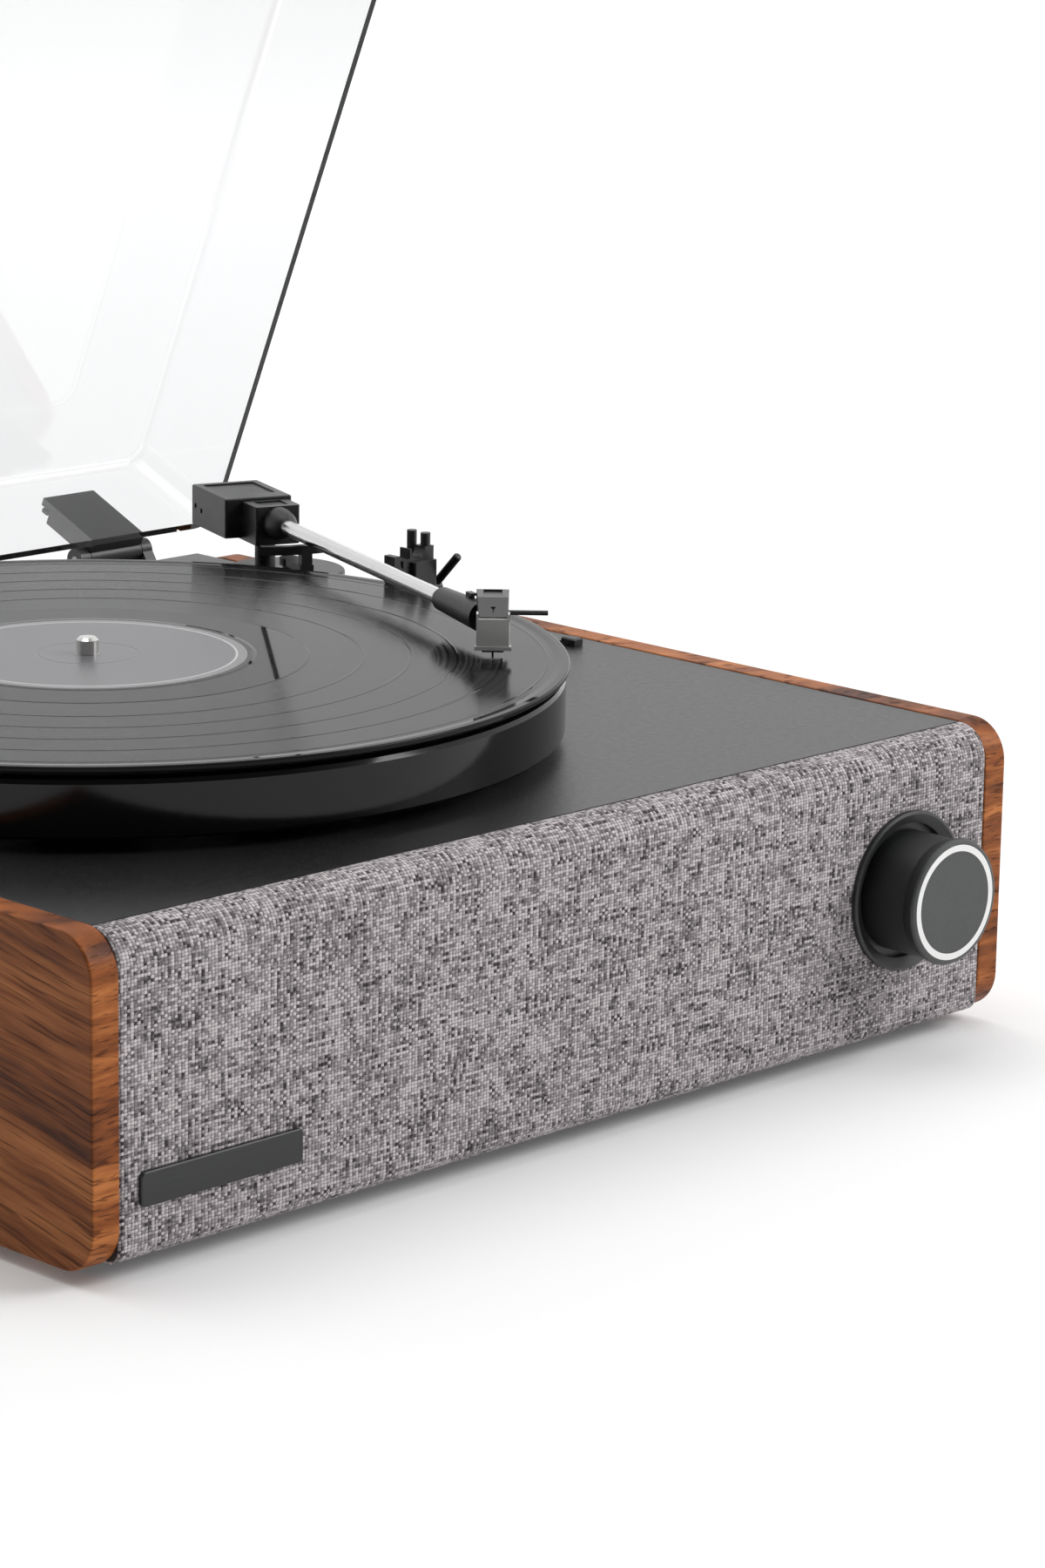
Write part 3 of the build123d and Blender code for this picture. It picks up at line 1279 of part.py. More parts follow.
with BuildPart() as arm_rest:
    with BuildSketch(Plane.XY.offset(deck_top)):
        with Locations((rest_plate_x, rest_plate_y)):
            Rectangle(rest_base_length + 4, rest_base_width)
    extrude(amount=rest_base_thickness)
    chamfer(arm_rest.faces().sort_by(Axis.Z)[-1].edges(), 0.8)
    with BuildSketch(Plane.XY.offset(deck_bottom - 2)):
        with Locations((rest_plate_x, rest_plate_y)):
            Circle(rest_spigot_radius)
    extrude(amount=deck_thickness + 3)
    with BuildSketch(face_plane(rest_y + rest_depth / 2)):
        with BuildLine():
            Polyline((rest_x + rest_left, deck_top + 1), (rest_x + rest_left, tube_z - finger_top),
                     (rest_x + finger_right, tube_z - finger_top),
                     (rest_x + finger_right + 0.6, tube_z - tooth_top - 1.6),
                     (rest_x + tooth_left, tube_z - tooth_top - 2.6),
                     (rest_x + tooth_left, tube_z - tooth_top), (rest_x + tooth_right, tube_z - tooth_top),
                     (rest_x + cup_left, tube_z - tooth_top + 0.6), (rest_x + cup_left, tube_z + cup_top),
                     (rest_x + block_right, tube_z + cup_top), (rest_x + block_right, deck_top + 1),
                     close=True)
        make_face()
        with Locations((rest_x + (finger_right + tooth_left) / 2, tube_z + slot_top - 8)):
            Rectangle(tooth_left - finger_right, 8, mode=Mode.SUBTRACT)
    extrude(amount=rest_depth)
    with BuildSketch(Plane.XY.offset(deck_top + 1)):
        with Locations((rest_x + (block_right - 3.5) / 2, rest_y + 0.5)):
            RectangleRounded(block_right + 3.5, block_width, 0.8)
    extrude(amount=tube_z + block_top - deck_top - 1)
    with BuildSketch(Plane.XY.offset(deck_top + 1)):
        with Locations((peg_x, peg_front_y), (peg_x, peg_rear_y)):
            Circle(peg_radius)
    extrude(amount=tube_z + peg_top - deck_top - 1)
    with BuildSketch(face_plane(rest_y - block_width)):
        with Locations((rest_x, tube_z)):
            Circle(rest_seat_radius)
        with Locations((rest_x, tube_z + rest_seat_radius / 2)):
            Rectangle(2 * rest_seat_radius - 1.0, rest_seat_radius)
    extrude(amount=-2 * block_width, mode=Mode.SUBTRACT)
    with BuildSketch(Plane.YZ.offset(rest_x + block_right)):
        with Locations((lever_y, lever_z)):
            Circle(lever_stub_radius + running_fit)
    extrude(amount=-(lever_stub_length + 0.5), mode=Mode.SUBTRACT)
arm_rest.part.label = "arm_rest"
export_step(arm_rest.part, "parts/arm_rest.step")

lever_rod = Plane(origin=(lever_x + lever_hub_width / 2, lever_y, lever_z), x_dir=(1, 0, 0),
                  z_dir=(0, -cos(radians(lever_angle)), sin(radians(lever_angle))))
with BuildPart() as cue_lever:
    with BuildSketch(Plane.YZ.offset(lever_x)):
        with Locations((lever_y, lever_z)):
            Circle(lever_hub_radius)
    extrude(amount=lever_hub_width)
    chamfer(cue_lever.edges().filter_by(GeomType.CIRCLE), 0.5)
    with BuildSketch(Plane.YZ.offset(lever_x + 1)):
        with Locations((lever_y, lever_z)):
            Circle(lever_stub_radius)
    extrude(amount=-(lever_stub_length + lever_gap + 1))
    with BuildSketch(lever_rod):
        Circle(lever_rod_radius)
    extrude(amount=lever_rod_length)
    fillet(cue_lever.faces().sort_by(Axis((0, 0, 0), lever_rod.z_dir))[-1].edges(), 0.7)
cue_lever.part.label = "cue_lever"
export_step(cue_lever.part, "parts/cue_lever.step")

# ---------------------------------------------------------------- speed selector, auto-stop switch
selector_radius = 11.0
selector_height = 9.0
selector_gap = 0.5
selector_shaft_end = 9.0
stop_nub_height = 2.5
stop_gap = 0.1
stop_plate_thickness = 1.5

with BuildPart() as speed_selector:
    with BuildSketch(Plane.XY.offset(deck_top + selector_gap)):
        with Locations((selector_x, selector_y)):
            Circle(selector_radius)
    extrude(amount=selector_height)
    chamfer(speed_selector.faces().sort_by(Axis.Z)[-1].edges(), 0.8)
    with BuildSketch(Plane.XY.offset(deck_top + selector_gap + selector_height)):
        with Locations((selector_x, selector_y - selector_radius / 2)):
            Rectangle(1.4, selector_radius - 2)
    extrude(amount=-0.8, mode=Mode.SUBTRACT)
    with BuildSketch(Plane.XY.offset(deck_top + selector_gap)):
        with Locations((selector_x, selector_y)):
            Circle(selector_shaft_radius)
    extrude(amount=-(selector_gap + deck_thickness + selector_shaft_end))
speed_selector.part.label = "speed_selector"
export_step(speed_selector.part, "parts/speed_selector.step")

stop_rest_y = stop_y - stop_travel / 2
with BuildPart() as auto_stop_switch:
    with BuildSketch(Plane.XY.offset(deck_top + stop_gap)):
        with Locations((stop_x, stop_rest_y)):
            RectangleRounded(stop_stem_width + 1.4, stop_stem_length + 1.4, 0.6)
    extrude(amount=stop_nub_height)
    chamfer(auto_stop_switch.faces().sort_by(Axis.Z)[-1].edges(), 0.5)
    with BuildSketch(Plane.XY.offset(deck_bottom - 1)):
        with Locations((stop_x, stop_rest_y)):
            Rectangle(stop_stem_width, stop_stem_length)
    extrude(amount=deck_thickness + 2)
    with BuildSketch(Plane.XY.offset(deck_bottom - stop_gap - stop_plate_thickness)):
        with Locations((stop_x, stop_rest_y)):
            Rectangle(stop_stem_width + 5, stop_stem_length + 6)
    extrude(amount=stop_plate_thickness)
auto_stop_switch.part.label = "auto_stop_switch"
export_step(auto_stop_switch.part, "parts/auto_stop_switch.step")

# ---------------------------------------------------------------- hinges
# Each bracket is screwed to the rear panel. Its two knuckles hold the pin, and the leaf on the
# dust cover turns between them.
bracket_bottom = 22.4       # below the top of the side panels
bracket_top = 0.5
bracket_thickness = 3.0
web_bottom = 11.0
knuckle_gap = 0.3
hinge_screw_drop = 16.0
hinge_screw_spacing = hinge_width - 10.0
plate_width = leaf_width
leaf_back = -(hinge_behind + cover_rear_setback)
leaf_bottom = cover_lift - hinge_rise
rib_thickness = 1.6
rib_count = 4
rib_rise = 5.0
knuckle_width = (hinge_width - leaf_width) / 2 - knuckle_gap

with BuildPart() as hinge_brackets:
    with BuildSketch(face_plane(rear_y + bracket_thickness)):
        for x in (-hinge_x, hinge_x):
            with Locations((x, panel_top - (bracket_bottom + bracket_top) / 2)):
                RectangleRounded(hinge_width, bracket_bottom - bracket_top, 1)
            with Locations((x, panel_top - hinge_screw_drop)):
                with GridLocations(hinge_screw_spacing, 1, 2, 1):
                    Circle(screw_radius + screw_fit, mode=Mode.SUBTRACT)
    extrude(amount=bracket_thickness)
    for x in (-hinge_x, hinge_x):
        for edge in (-hinge_width / 2, leaf_width / 2 + knuckle_gap):
            with BuildSketch(Plane.YZ.offset(x + edge)):
                with Locations((hinge_y, hinge_z)):
                    Circle(knuckle_radius)
                with BuildLine():
                    Polyline((rear_y, panel_top - web_bottom),
                             (rear_y + bracket_thickness, panel_top - web_bottom),
                             (hinge_y + knuckle_radius, hinge_z - 2), (hinge_y + knuckle_radius, hinge_z),
                             (hinge_y - knuckle_radius, hinge_z), (rear_y, panel_top - bracket_top),
                             close=True)
                make_face()
            extrude(amount=knuckle_width)
    with BuildSketch(Plane.YZ.offset(-half_width)):
        with Locations((hinge_y, hinge_z)):
            Circle(hinge_pin_radius)
    extrude(amount=cabinet_width, mode=Mode.SUBTRACT)
hinge_brackets.part.label = "hinge_brackets"
export_step(hinge_brackets.part, "parts/hinge_brackets.step")

with BuildPart() as hinge_pins:
    for x in (-hinge_x, hinge_x):
        with BuildSketch(Plane.YZ.offset(x - hinge_width / 2)):
            with Locations((hinge_y, hinge_z)):
                Circle(hinge_pin_radius)
        extrude(amount=hinge_width)
hinge_pins.part.label = "hinge_pins"
export_step(hinge_pins.part, "parts/hinge_pins.step")

with BuildPart() as hinge_screws:
    with BuildSketch(face_plane(rear_y + bracket_thickness)):
        for x in (-hinge_x, hinge_x):
            with Locations((x, panel_top - hinge_screw_drop)):
                with GridLocations(hinge_screw_spacing, 1, 2, 1):
                    Circle(screw_radius)
    extrude(amount=bracket_thickness + rear_thickness - 0.5)
    with BuildSketch(face_plane(rear_y + bracket_thickness)):
        for x in (-hinge_x, hinge_x):
            with Locations((x, panel_top - hinge_screw_drop)):
                with GridLocations(hinge_screw_spacing, 1, 2, 1):
                    Circle(screw_radius * 1.9)
    extrude(amount=-screw_head_height)
hinge_screws.part.label = "hinge_screws"
export_step(hinge_screws.part, "parts/hinge_screws.step")

leaf_middle = (leaf_bottom + leaf_height) / 2
with BuildPart() as hinge_leaves:
    with BuildSketch(cover_plane(leaf_bottom)):
        for x in (-hinge_x, hinge_x):
            with Locations((x, leaf_back + leaf_thickness / 2)):
                Rectangle(leaf_width, leaf_thickness)
    extrude(amount=leaf_height - leaf_bottom)
    with BuildSketch(cover_plane(leaf_bottom + 0.4)):
        for x in (-hinge_x, hinge_x):
            with Locations((x, leaf_back / 2)):
                Rectangle(leaf_width, -leaf_back)
    extrude(amount=knuckle_radius)
    for x in (-hinge_x, hinge_x):
        with BuildSketch(Plane.YZ.offset(x - leaf_width / 2)):
            with Locations((hinge_y, hinge_z)):
                Circle(knuckle_radius)
        extrude(amount=leaf_width)
    with BuildSketch(cover_plane(knuckle_radius - 2)):
        for x in (-hinge_x, hinge_x):
            with Locations((x, leaf_back + (leaf_thickness + rib_rise) / 2)):
                with GridLocations((leaf_width - rib_thickness) / (rib_count - 1), 1, rib_count, 1):
                    Rectangle(rib_thickness, leaf_thickness + rib_rise)
    extrude(amount=leaf_height - knuckle_radius - 3)
    with BuildSketch(cover_plane(leaf_height - 4)):
        for x in (-hinge_x, hinge_x):
            with Locations((x, leaf_back + leaf_thickness + rib_rise / 2 - 1)):
                Rectangle(leaf_width, rib_thickness)
    extrude(amount=3)
    with BuildSketch(Plane.YZ.offset(-half_width)):
        with Locations((hinge_y, hinge_z)):
            Circle(hinge_pin_radius + running_fit)
    extrude(amount=cabinet_width, mode=Mode.SUBTRACT)
hinge_leaves.part.label = "hinge_leaves"
export_step(hinge_leaves.part, "parts/hinge_leaves.step")

# ---------------------------------------------------------------- dust cover
# A clear box open below, drawn at its open angle. It rests on two bumpers when it is shut.
cover_half = half_width - cover_side_setback
cover_rear = leaf_back
cover_front = front_y + cover_front_setback - hinge_y
cover_middle = (cover_rear + cover_front) / 2
cover_length = cover_rear - cover_front
cover_rim = cover_lift - hinge_rise
cover_corner = 10.0
cover_edge = 4.0
cover_axis = Axis((0, 0, 0), cover_up)
bumper_length = 8.0
bumper_back = 16.0

with BuildPart() as dust_cover:
    with BuildSketch(cover_plane(cover_rim)):
        with Locations((0, cover_middle)):
            RectangleRounded(2 * cover_half, cover_length, cover_corner)
    extrude(amount=cover_height)
    fillet(dust_cover.faces().sort_by(cover_axis)[-1].edges(), cover_edge)
    with BuildSketch(cover_plane(cover_rim)):
        with Locations((0, cover_middle)):
            RectangleRounded(2 * (cover_half - cover_wall), cover_length - 2 * cover_wall,
                             cover_corner - cover_wall)
    extrude(amount=cover_height - cover_wall, mode=Mode.SUBTRACT)
    inner_face = dust_cover.faces().filter_by(cover_axis).sort_by(cover_axis)[-2]
    fillet(inner_face.edges(), cover_edge - cover_wall)
dust_cover.part.label = "dust_cover"
export_step(dust_cover.part, "parts/dust_cover.step")

with BuildPart() as lid_bumpers:
    with BuildSketch(cover_plane(cover_rim - cover_lift)):
        for x in (-cover_half + cover_wall / 2, cover_half - cover_wall / 2):
            with Locations((x, cover_front + bumper_back + bumper_length / 2)):
                Rectangle(cover_wall, bumper_length)
    extrude(amount=cover_lift)
lid_bumpers.part.label = "lid_bumpers"
export_step(lid_bumpers.part, "parts/lid_bumpers.step")
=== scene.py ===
from math import cos, pi, radians, sin

import bmesh
import bpy
from mathutils import Matrix, Vector


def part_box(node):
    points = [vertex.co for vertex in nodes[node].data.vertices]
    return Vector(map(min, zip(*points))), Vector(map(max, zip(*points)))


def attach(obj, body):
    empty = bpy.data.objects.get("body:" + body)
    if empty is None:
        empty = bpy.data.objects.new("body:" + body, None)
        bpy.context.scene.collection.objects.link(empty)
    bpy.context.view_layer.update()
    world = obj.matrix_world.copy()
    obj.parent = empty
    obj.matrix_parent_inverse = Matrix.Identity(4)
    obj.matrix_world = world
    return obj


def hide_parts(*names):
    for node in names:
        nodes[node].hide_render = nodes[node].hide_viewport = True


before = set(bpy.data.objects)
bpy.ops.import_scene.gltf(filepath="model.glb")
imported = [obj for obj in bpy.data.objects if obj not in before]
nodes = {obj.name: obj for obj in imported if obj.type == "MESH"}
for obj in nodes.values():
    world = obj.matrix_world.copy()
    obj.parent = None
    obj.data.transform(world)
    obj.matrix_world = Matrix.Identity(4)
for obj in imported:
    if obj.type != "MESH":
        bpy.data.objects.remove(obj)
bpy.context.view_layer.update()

# ---------------------------------------------------------------- side panels
# Two boards veneered in walnut, with rounded corners, that stand at the ends of the cabinet.
# The grain runs from back to front and dips a little towards the front; satin lacquer, with a painted
# highlight on the edges.
grain_dip = radians(13)
walnut_dark = (0.050, 0.0135, 0.0046, 1)
walnut_mid = (0.192, 0.058, 0.0155, 1)
walnut_light = (0.365, 0.133, 0.042, 1)
walnut_shine = 0.16
# tint of the painted highlight on the boards' edges
edge_highlight_tint = (1.45, 1.38, 1.20, 1)
edge_stretch = 0.14
pore_dark = (0.45, 0.40, 0.36, 1)
pore_depth = 0.00006
figure_sway = 0.022
figure = (0.10, 55.0, 6.0)      # stretch along the grain, scale and detail
streaks = (0.05, 300.0, 4.0)
pores = (0.030, 1000.0, 1.5)
streak_strength = 0.34


def feed(tree, node, inputs):
    """Each input of the node takes a value or another node's output; returns the node."""
    for name, value in inputs.items():
        if isinstance(value, bpy.types.NodeSocket):
            tree.links.new(value, node.inputs[name])
        else:
            node.inputs[name].default_value = value
    return node


def add(tree, kind, settings=None, inputs=None):
    """A new shader node with its settings and inputs."""
    node = tree.nodes.new("ShaderNode" + kind)
    for name, value in (settings or {}).items():
        setattr(node, name, value)
    return feed(tree, node, inputs or {})


def maths(tree, operation, first, second=0.0, clamp=False):
    """One step of arithmetic; returns its output."""
    settings = {"operation": operation, "use_clamp": clamp}
    return add(tree, "Math", settings, {0: first, 1: second}).outputs[0]


def blended(tree, factor, first, second, blend="MIX"):
    """Two colours blended; returns the colour."""
    settings = {"data_type": "RGBA", "blend_type": blend}
    return add(tree, "Mix", settings, {0: factor, 6: first, 7: second}).outputs[2]


def ranged(tree, value, low, high, to_low=0.0, to_high=1.0):
    """A value moved from one range to another, clamped; returns the value."""
    inputs = {"Value": value, "From Min": low, "From Max": high, "To Min": to_low, "To Max": to_high}
    return add(tree, "MapRange", None, inputs).outputs["Result"]


def new_group(name, inputs, outputs):
    """A shader node group with named sockets; returns its tree, input node and output node."""
    tree = bpy.data.node_groups.new(name, "ShaderNodeTree")
    for direction, sockets in (("INPUT", inputs), ("OUTPUT", outputs)):
        for label, kind, default in sockets:
            socket = tree.interface.new_socket(label, in_out=direction, socket_type="NodeSocket" + kind)
            if default is not None:
                socket.default_value = default
    return tree, tree.nodes.new("NodeGroupInput"), tree.nodes.new("NodeGroupOutput")


def place_group(tree, group, inputs=None):
    """The group placed in a material with its own values."""
    node = tree.nodes.new("ShaderNodeGroup")
    node.node_tree = group
    return feed(tree, node, inputs or {})


def new_material(name):
    """An empty material with its Principled shader; returns the material, its tree and the shader."""
    material = bpy.data.materials.new(name)
    material.use_nodes = True
    tree = material.node_tree
    return material, tree, tree.nodes["Principled BSDF"]


def dented(tree, shader, height, depth):
    """Bumps of that depth in metres on a shader."""
    bump = add(tree, "Bump", None, {"Height": height, "Distance": depth, "Strength": 1.0})
    tree.links.new(bump.outputs["Normal"], shader.inputs["Normal"])


def paint(material, *names):
    """The material goes on CAD nodes."""
    for name in names:
        for slot in nodes[name].material_slots:
            slot.material = material


def make_wood_grain():
    """Long streaks along Y with a wavy figure and short dark pores."""
    sockets = [("Dark", "Color", walnut_dark), ("Middle", "Color", walnut_mid)]
    sockets += [("Light", "Color", walnut_light)]
    results = [("Color", "Color", None), ("Height", "Float", None)]
    tree, given, made = new_group("wood_grain", sockets, results)
    place = add(tree, "TexCoord").outputs["Object"]
    turned = add(tree, "Mapping", None, {"Vector": place, "Rotation": (-grain_dip, 0, 0)}).outputs[0]
    sway = add(tree, "TexNoise", None, {"Vector": turned, "Scale": 8.0, "Detail": 3.0})
    middle = (0.5, 0.5, 0.5)
    centred = add(tree, "VectorMath", {"operation": "SUBTRACT"}, {0: sway.outputs["Color"], 1: middle})
    reach = (0.0, 0.0, figure_sway)
    push = add(tree, "VectorMath", {"operation": "MULTIPLY"}, {0: centred.outputs[0], 1: reach})
    bent = add(tree, "VectorMath", {"operation": "ADD"}, {0: turned, 1: push.outputs[0]}).outputs[0]
    layers = []
    for stretch, scale, detail in (figure, streaks, pores):
        drawn = add(tree, "Mapping", None, {"Vector": bent, "Scale": (edge_stretch, stretch, 1.0)})
        noise = add(tree, "TexNoise", None, {
            "Vector": drawn.outputs[0], "Scale": scale, "Detail": detail, "Roughness": 0.62,
        })
        layers.append(noise.outputs["Fac"])
    broad = ranged(tree, layers[0], 0.30, 0.70)
    streaky = ranged(tree, layers[1], 0.30, 0.70, -streak_strength, streak_strength)
    level = maths(tree, "ADD", broad, streaky, clamp=True)
    below = ranged(tree, level, 0.0, 0.5)
    low_half = blended(tree, below, given.outputs["Dark"], given.outputs["Middle"])
    both = blended(tree, ranged(tree, level, 0.5, 1.0), low_half, given.outputs["Light"])
    in_pore = ranged(tree, layers[2], 0.56, 0.66)
    coloured = blended(tree, in_pore, both, blended(tree, 1.0, both, pore_dark, "MULTIPLY"))
    tree.links.new(coloured, made.inputs["Color"])
    height = maths(tree, "SUBTRACT", maths(tree, "MULTIPLY", layers[1], 0.35), in_pore)
    tree.links.new(height, made.inputs["Height"])
    return tree


wood_grain = make_wood_grain()
walnut, tree, shader = new_material("walnut")
wood = place_group(tree, wood_grain)
facing = add(tree, "SeparateXYZ", None, {0: add(tree, "TexCoord").outputs["Normal"]}).outputs["X"]
on_edge = ranged(tree, maths(tree, "ABSOLUTE", facing), 0.55, 0.85, 1.0, 0.0)
# Where the face does not look sideways (the edges) the wood is made lighter: painted highlight, standing in
# for the brighter light on the edges.
edge_highlighted = blended(tree, 1.0, wood.outputs["Color"], edge_highlight_tint, "MULTIPLY")
tree.links.new(blended(tree, on_edge, wood.outputs["Color"], edge_highlighted), shader.inputs["Base Color"])
tree.links.new(ranged(tree, wood.outputs["Height"], -1.0, 0.3, 0.58, 0.44), shader.inputs["Roughness"])
shader.inputs["Specular IOR Level"].default_value = walnut_shine
dented(tree, shader, wood.outputs["Height"], pore_depth)
paint(walnut, "side_panel_left", "side_panel_right")

# ---------------------------------------------------------------- boards, feet and cabinet screws
# The bottom, the baffle and the rear panel are black-stained fibreboard cut to size.
# Three screws hold the rear panel to the bottom, and four rubber feet are glued under it.
board_colour = (0.020, 0.019, 0.018, 1)
rubber_colour = (0.012, 0.012, 0.012, 1)
screw_colour = (0.30, 0.30, 0.31, 1)


def make_surface_grain():
    """Uneven colour and gloss, and a fine tooth, as on moulded, painted and machined surfaces."""
    sockets = [
        ("Color", "Color", (0.5, 0.5, 0.5, 1)), ("Spread", "Float", 0.15), ("Scale", "Float", 60.0),
        ("Tooth", "Float", 1500.0), ("Roughness", "Float", 0.4), ("Unevenness", "Float", 0.06),
        ("Stretch", "Vector", (1.0, 1.0, 1.0)),
    ]
    results = [("Color", "Color", None), ("Roughness", "Float", None), ("Height", "Float", None)]
    tree, given, made = new_group("surface_grain", sockets, results)
    place = add(tree, "TexCoord").outputs["Object"]
    pulled = {0: place, 1: given.outputs["Stretch"]}
    drawn = add(tree, "VectorMath", {"operation": "MULTIPLY"}, pulled).outputs[0]
    broad = add(tree, "TexNoise", None, {"Vector": drawn, "Scale": given.outputs["Scale"], "Detail": 4.0})
    fine = add(tree, "TexNoise", None, {"Vector": drawn, "Scale": given.outputs["Tooth"], "Detail": 2.0})
    both = maths(tree, "ADD", broad.outputs["Fac"], fine.outputs["Fac"])
    swing = maths(tree, "MULTIPLY", maths(tree, "SUBTRACT", both, 1.0), given.outputs["Spread"])
    lit = {0: given.outputs["Color"], "Scale": maths(tree, "ADD", swing, 1.0)}
    tint = add(tree, "VectorMath", {"operation": "SCALE"}, lit).outputs[0]
    tree.links.new(tint, made.inputs["Color"])
    off_middle = maths(tree, "SUBTRACT", broad.outputs["Fac"], 0.5)
    uneven = maths(tree, "MULTIPLY", off_middle, given.outputs["Unevenness"])
    rough = maths(tree, "ADD", uneven, given.outputs["Roughness"], clamp=True)
    tree.links.new(rough, made.inputs["Roughness"])
    tree.links.new(fine.outputs["Fac"], made.inputs["Height"])
    return tree


surface_grain = make_surface_grain()


def finish(name, colour, roughness, spread=0.5, scale=60.0, tooth=1500.0, depth=0.00003, metallic=0.0,
           unevenness=0.10, stretch=(1.0, 1.0, 1.0), shine=0.5):
    """A plain finish with its own grain; depth is the height of the tooth in metres."""
    material, tree, shader = new_material(name)
    grain = place_group(tree, surface_grain, {
        "Color": colour, "Spread": spread, "Scale": scale, "Tooth": tooth,
        "Roughness": roughness, "Unevenness": unevenness, "Stretch": stretch,
    })
    tree.links.new(grain.outputs["Color"], shader.inputs["Base Color"])
    tree.links.new(grain.outputs["Roughness"], shader.inputs["Roughness"])
    shader.inputs["Metallic"].default_value = metallic
    shader.inputs["Specular IOR Level"].default_value = shine
    dented(tree, shader, grain.outputs["Height"], depth)
    return material


paint(finish("stained_board", board_colour, 0.62, spread=1.0, scale=160.0, tooth=900.0, depth=0.00008),
      "bottom_panel", "front_baffle", "rear_panel")
paint(finish("foot_rubber", rubber_colour, 0.78, depth=0.00006), "feet")
paint(finish("zinc_screw", screw_colour, 0.34, metallic=1.0, tooth=2500.0, depth=0.00001), "cabinet_screws")

# ---------------------------------------------------------------- loudspeakers
# Two round drivers behind the baffle: pressed steel frame, paper cone and a ferrite magnet.
# Four screws hold each one, and the cloth hides them.
frame_steel = (0.10, 0.10, 0.105, 1)
cone_paper = (0.035, 0.033, 0.031, 1)
ferrite = (0.055, 0.054, 0.053, 1)
black_screw = (0.05, 0.05, 0.05, 1)

steel_finish = finish("speaker_steel", frame_steel, 0.40, metallic=0.9, depth=0.00002)
paper_finish = finish("speaker_paper", cone_paper, 0.85, spread=1.2, scale=240.0, tooth=1100.0, depth=0.00012)
ferrite_finish = finish("ferrite", ferrite, 0.58, spread=0.8, scale=120.0, depth=0.00005)
for side in ("left", "right"):
    paint(steel_finish, "speaker_frame_" + side)
    paint(paper_finish, "speaker_cone_" + side)
    paint(ferrite_finish, "speaker_magnet_" + side)
paint(finish("black_screw", black_screw, 0.38, metallic=0.9), "speaker_screws")

# ---------------------------------------------------------------- grille cloth
# A plain weave of off-white and charcoal yarns, stretched over the baffle and glued behind its edges.
# It turns over the top in a wide round and under the bottom in a small one, and is cut out at the knob.
warp_pitch = 0.00122
weft_pitch = 0.00100
cloth_thickness = 0.0008
cloth_step = 0.0015
top_round = 0.0105
bottom_round = 0.0050
bezel_lap = 0.0012              # the bezel covers the edge of the cloth's hole by this much
yarn_wander = 0.45              # in yarns
yarn_jump = 5.13                # keeps each yarn's own run of fibre apart from its neighbours'
fibre_run = 0.17
patch_strength = 0.09
weave_depth = 0.00030
yarn_dark = (0.038, 0.030, 0.033, 1)
yarn_middle = (0.300, 0.272, 0.282, 1)
yarn_light = (0.640, 0.585, 0.600, 1)

cloth_low, cloth_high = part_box("grille_cloth")
bezel_low, bezel_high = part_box("knob_bezel")
knob_low, knob_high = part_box("volume_knob")
knob_x = (knob_low[0] + knob_high[0]) / 2
knob_z = (knob_low[2] + knob_high[2]) / 2
hole_radius = (bezel_high[0] - bezel_low[0]) / 2 - bezel_lap
bottom_run = cloth_high[1] - cloth_low[1] - bottom_round
bottom_turn = bottom_round * pi / 2
front_run = cloth_high[2] - cloth_low[2] - top_round - bottom_round
top_turn = top_round * pi / 2
top_run = cloth_high[1] - cloth_low[1] - top_round
cloth_length = bottom_run + bottom_turn + front_run + top_turn + top_run
cloth_width = cloth_high[0] - cloth_low[0]


def round_the_baffle(along):
    """(y, z) of the cloth's outer face, that far along it from its back edge underneath."""
    if along <= bottom_run:
        return cloth_high[1] - along, cloth_low[2]
    along -= bottom_run
    if along <= bottom_turn:
        angle = along / bottom_round
        y = cloth_low[1] + bottom_round * (1 - sin(angle))
        return y, cloth_low[2] + bottom_round * (1 - cos(angle))
    along -= bottom_turn
    if along <= front_run:
        return cloth_low[1], cloth_low[2] + bottom_round + along
    along -= front_run
    if along <= top_turn:
        angle = along / top_round
        y = cloth_low[1] + top_round * (1 - cos(angle))
        return y, cloth_high[2] - top_round * (1 - sin(angle))
    return cloth_low[1] + top_round + along - top_turn, cloth_high[2]


def new_piece(name, bm, material, body):
    """The bmesh becomes a finished object that rides on a body."""
    mesh = bpy.data.meshes.new(name)
    bm.to_mesh(mesh)
    bm.free()
    piece = bpy.data.objects.new(name, mesh)
    bpy.context.scene.collection.objects.link(piece)
    mesh.materials.append(material)
    for face in mesh.polygons:
        face.use_smooth = True
    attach(piece, body)
    return piece


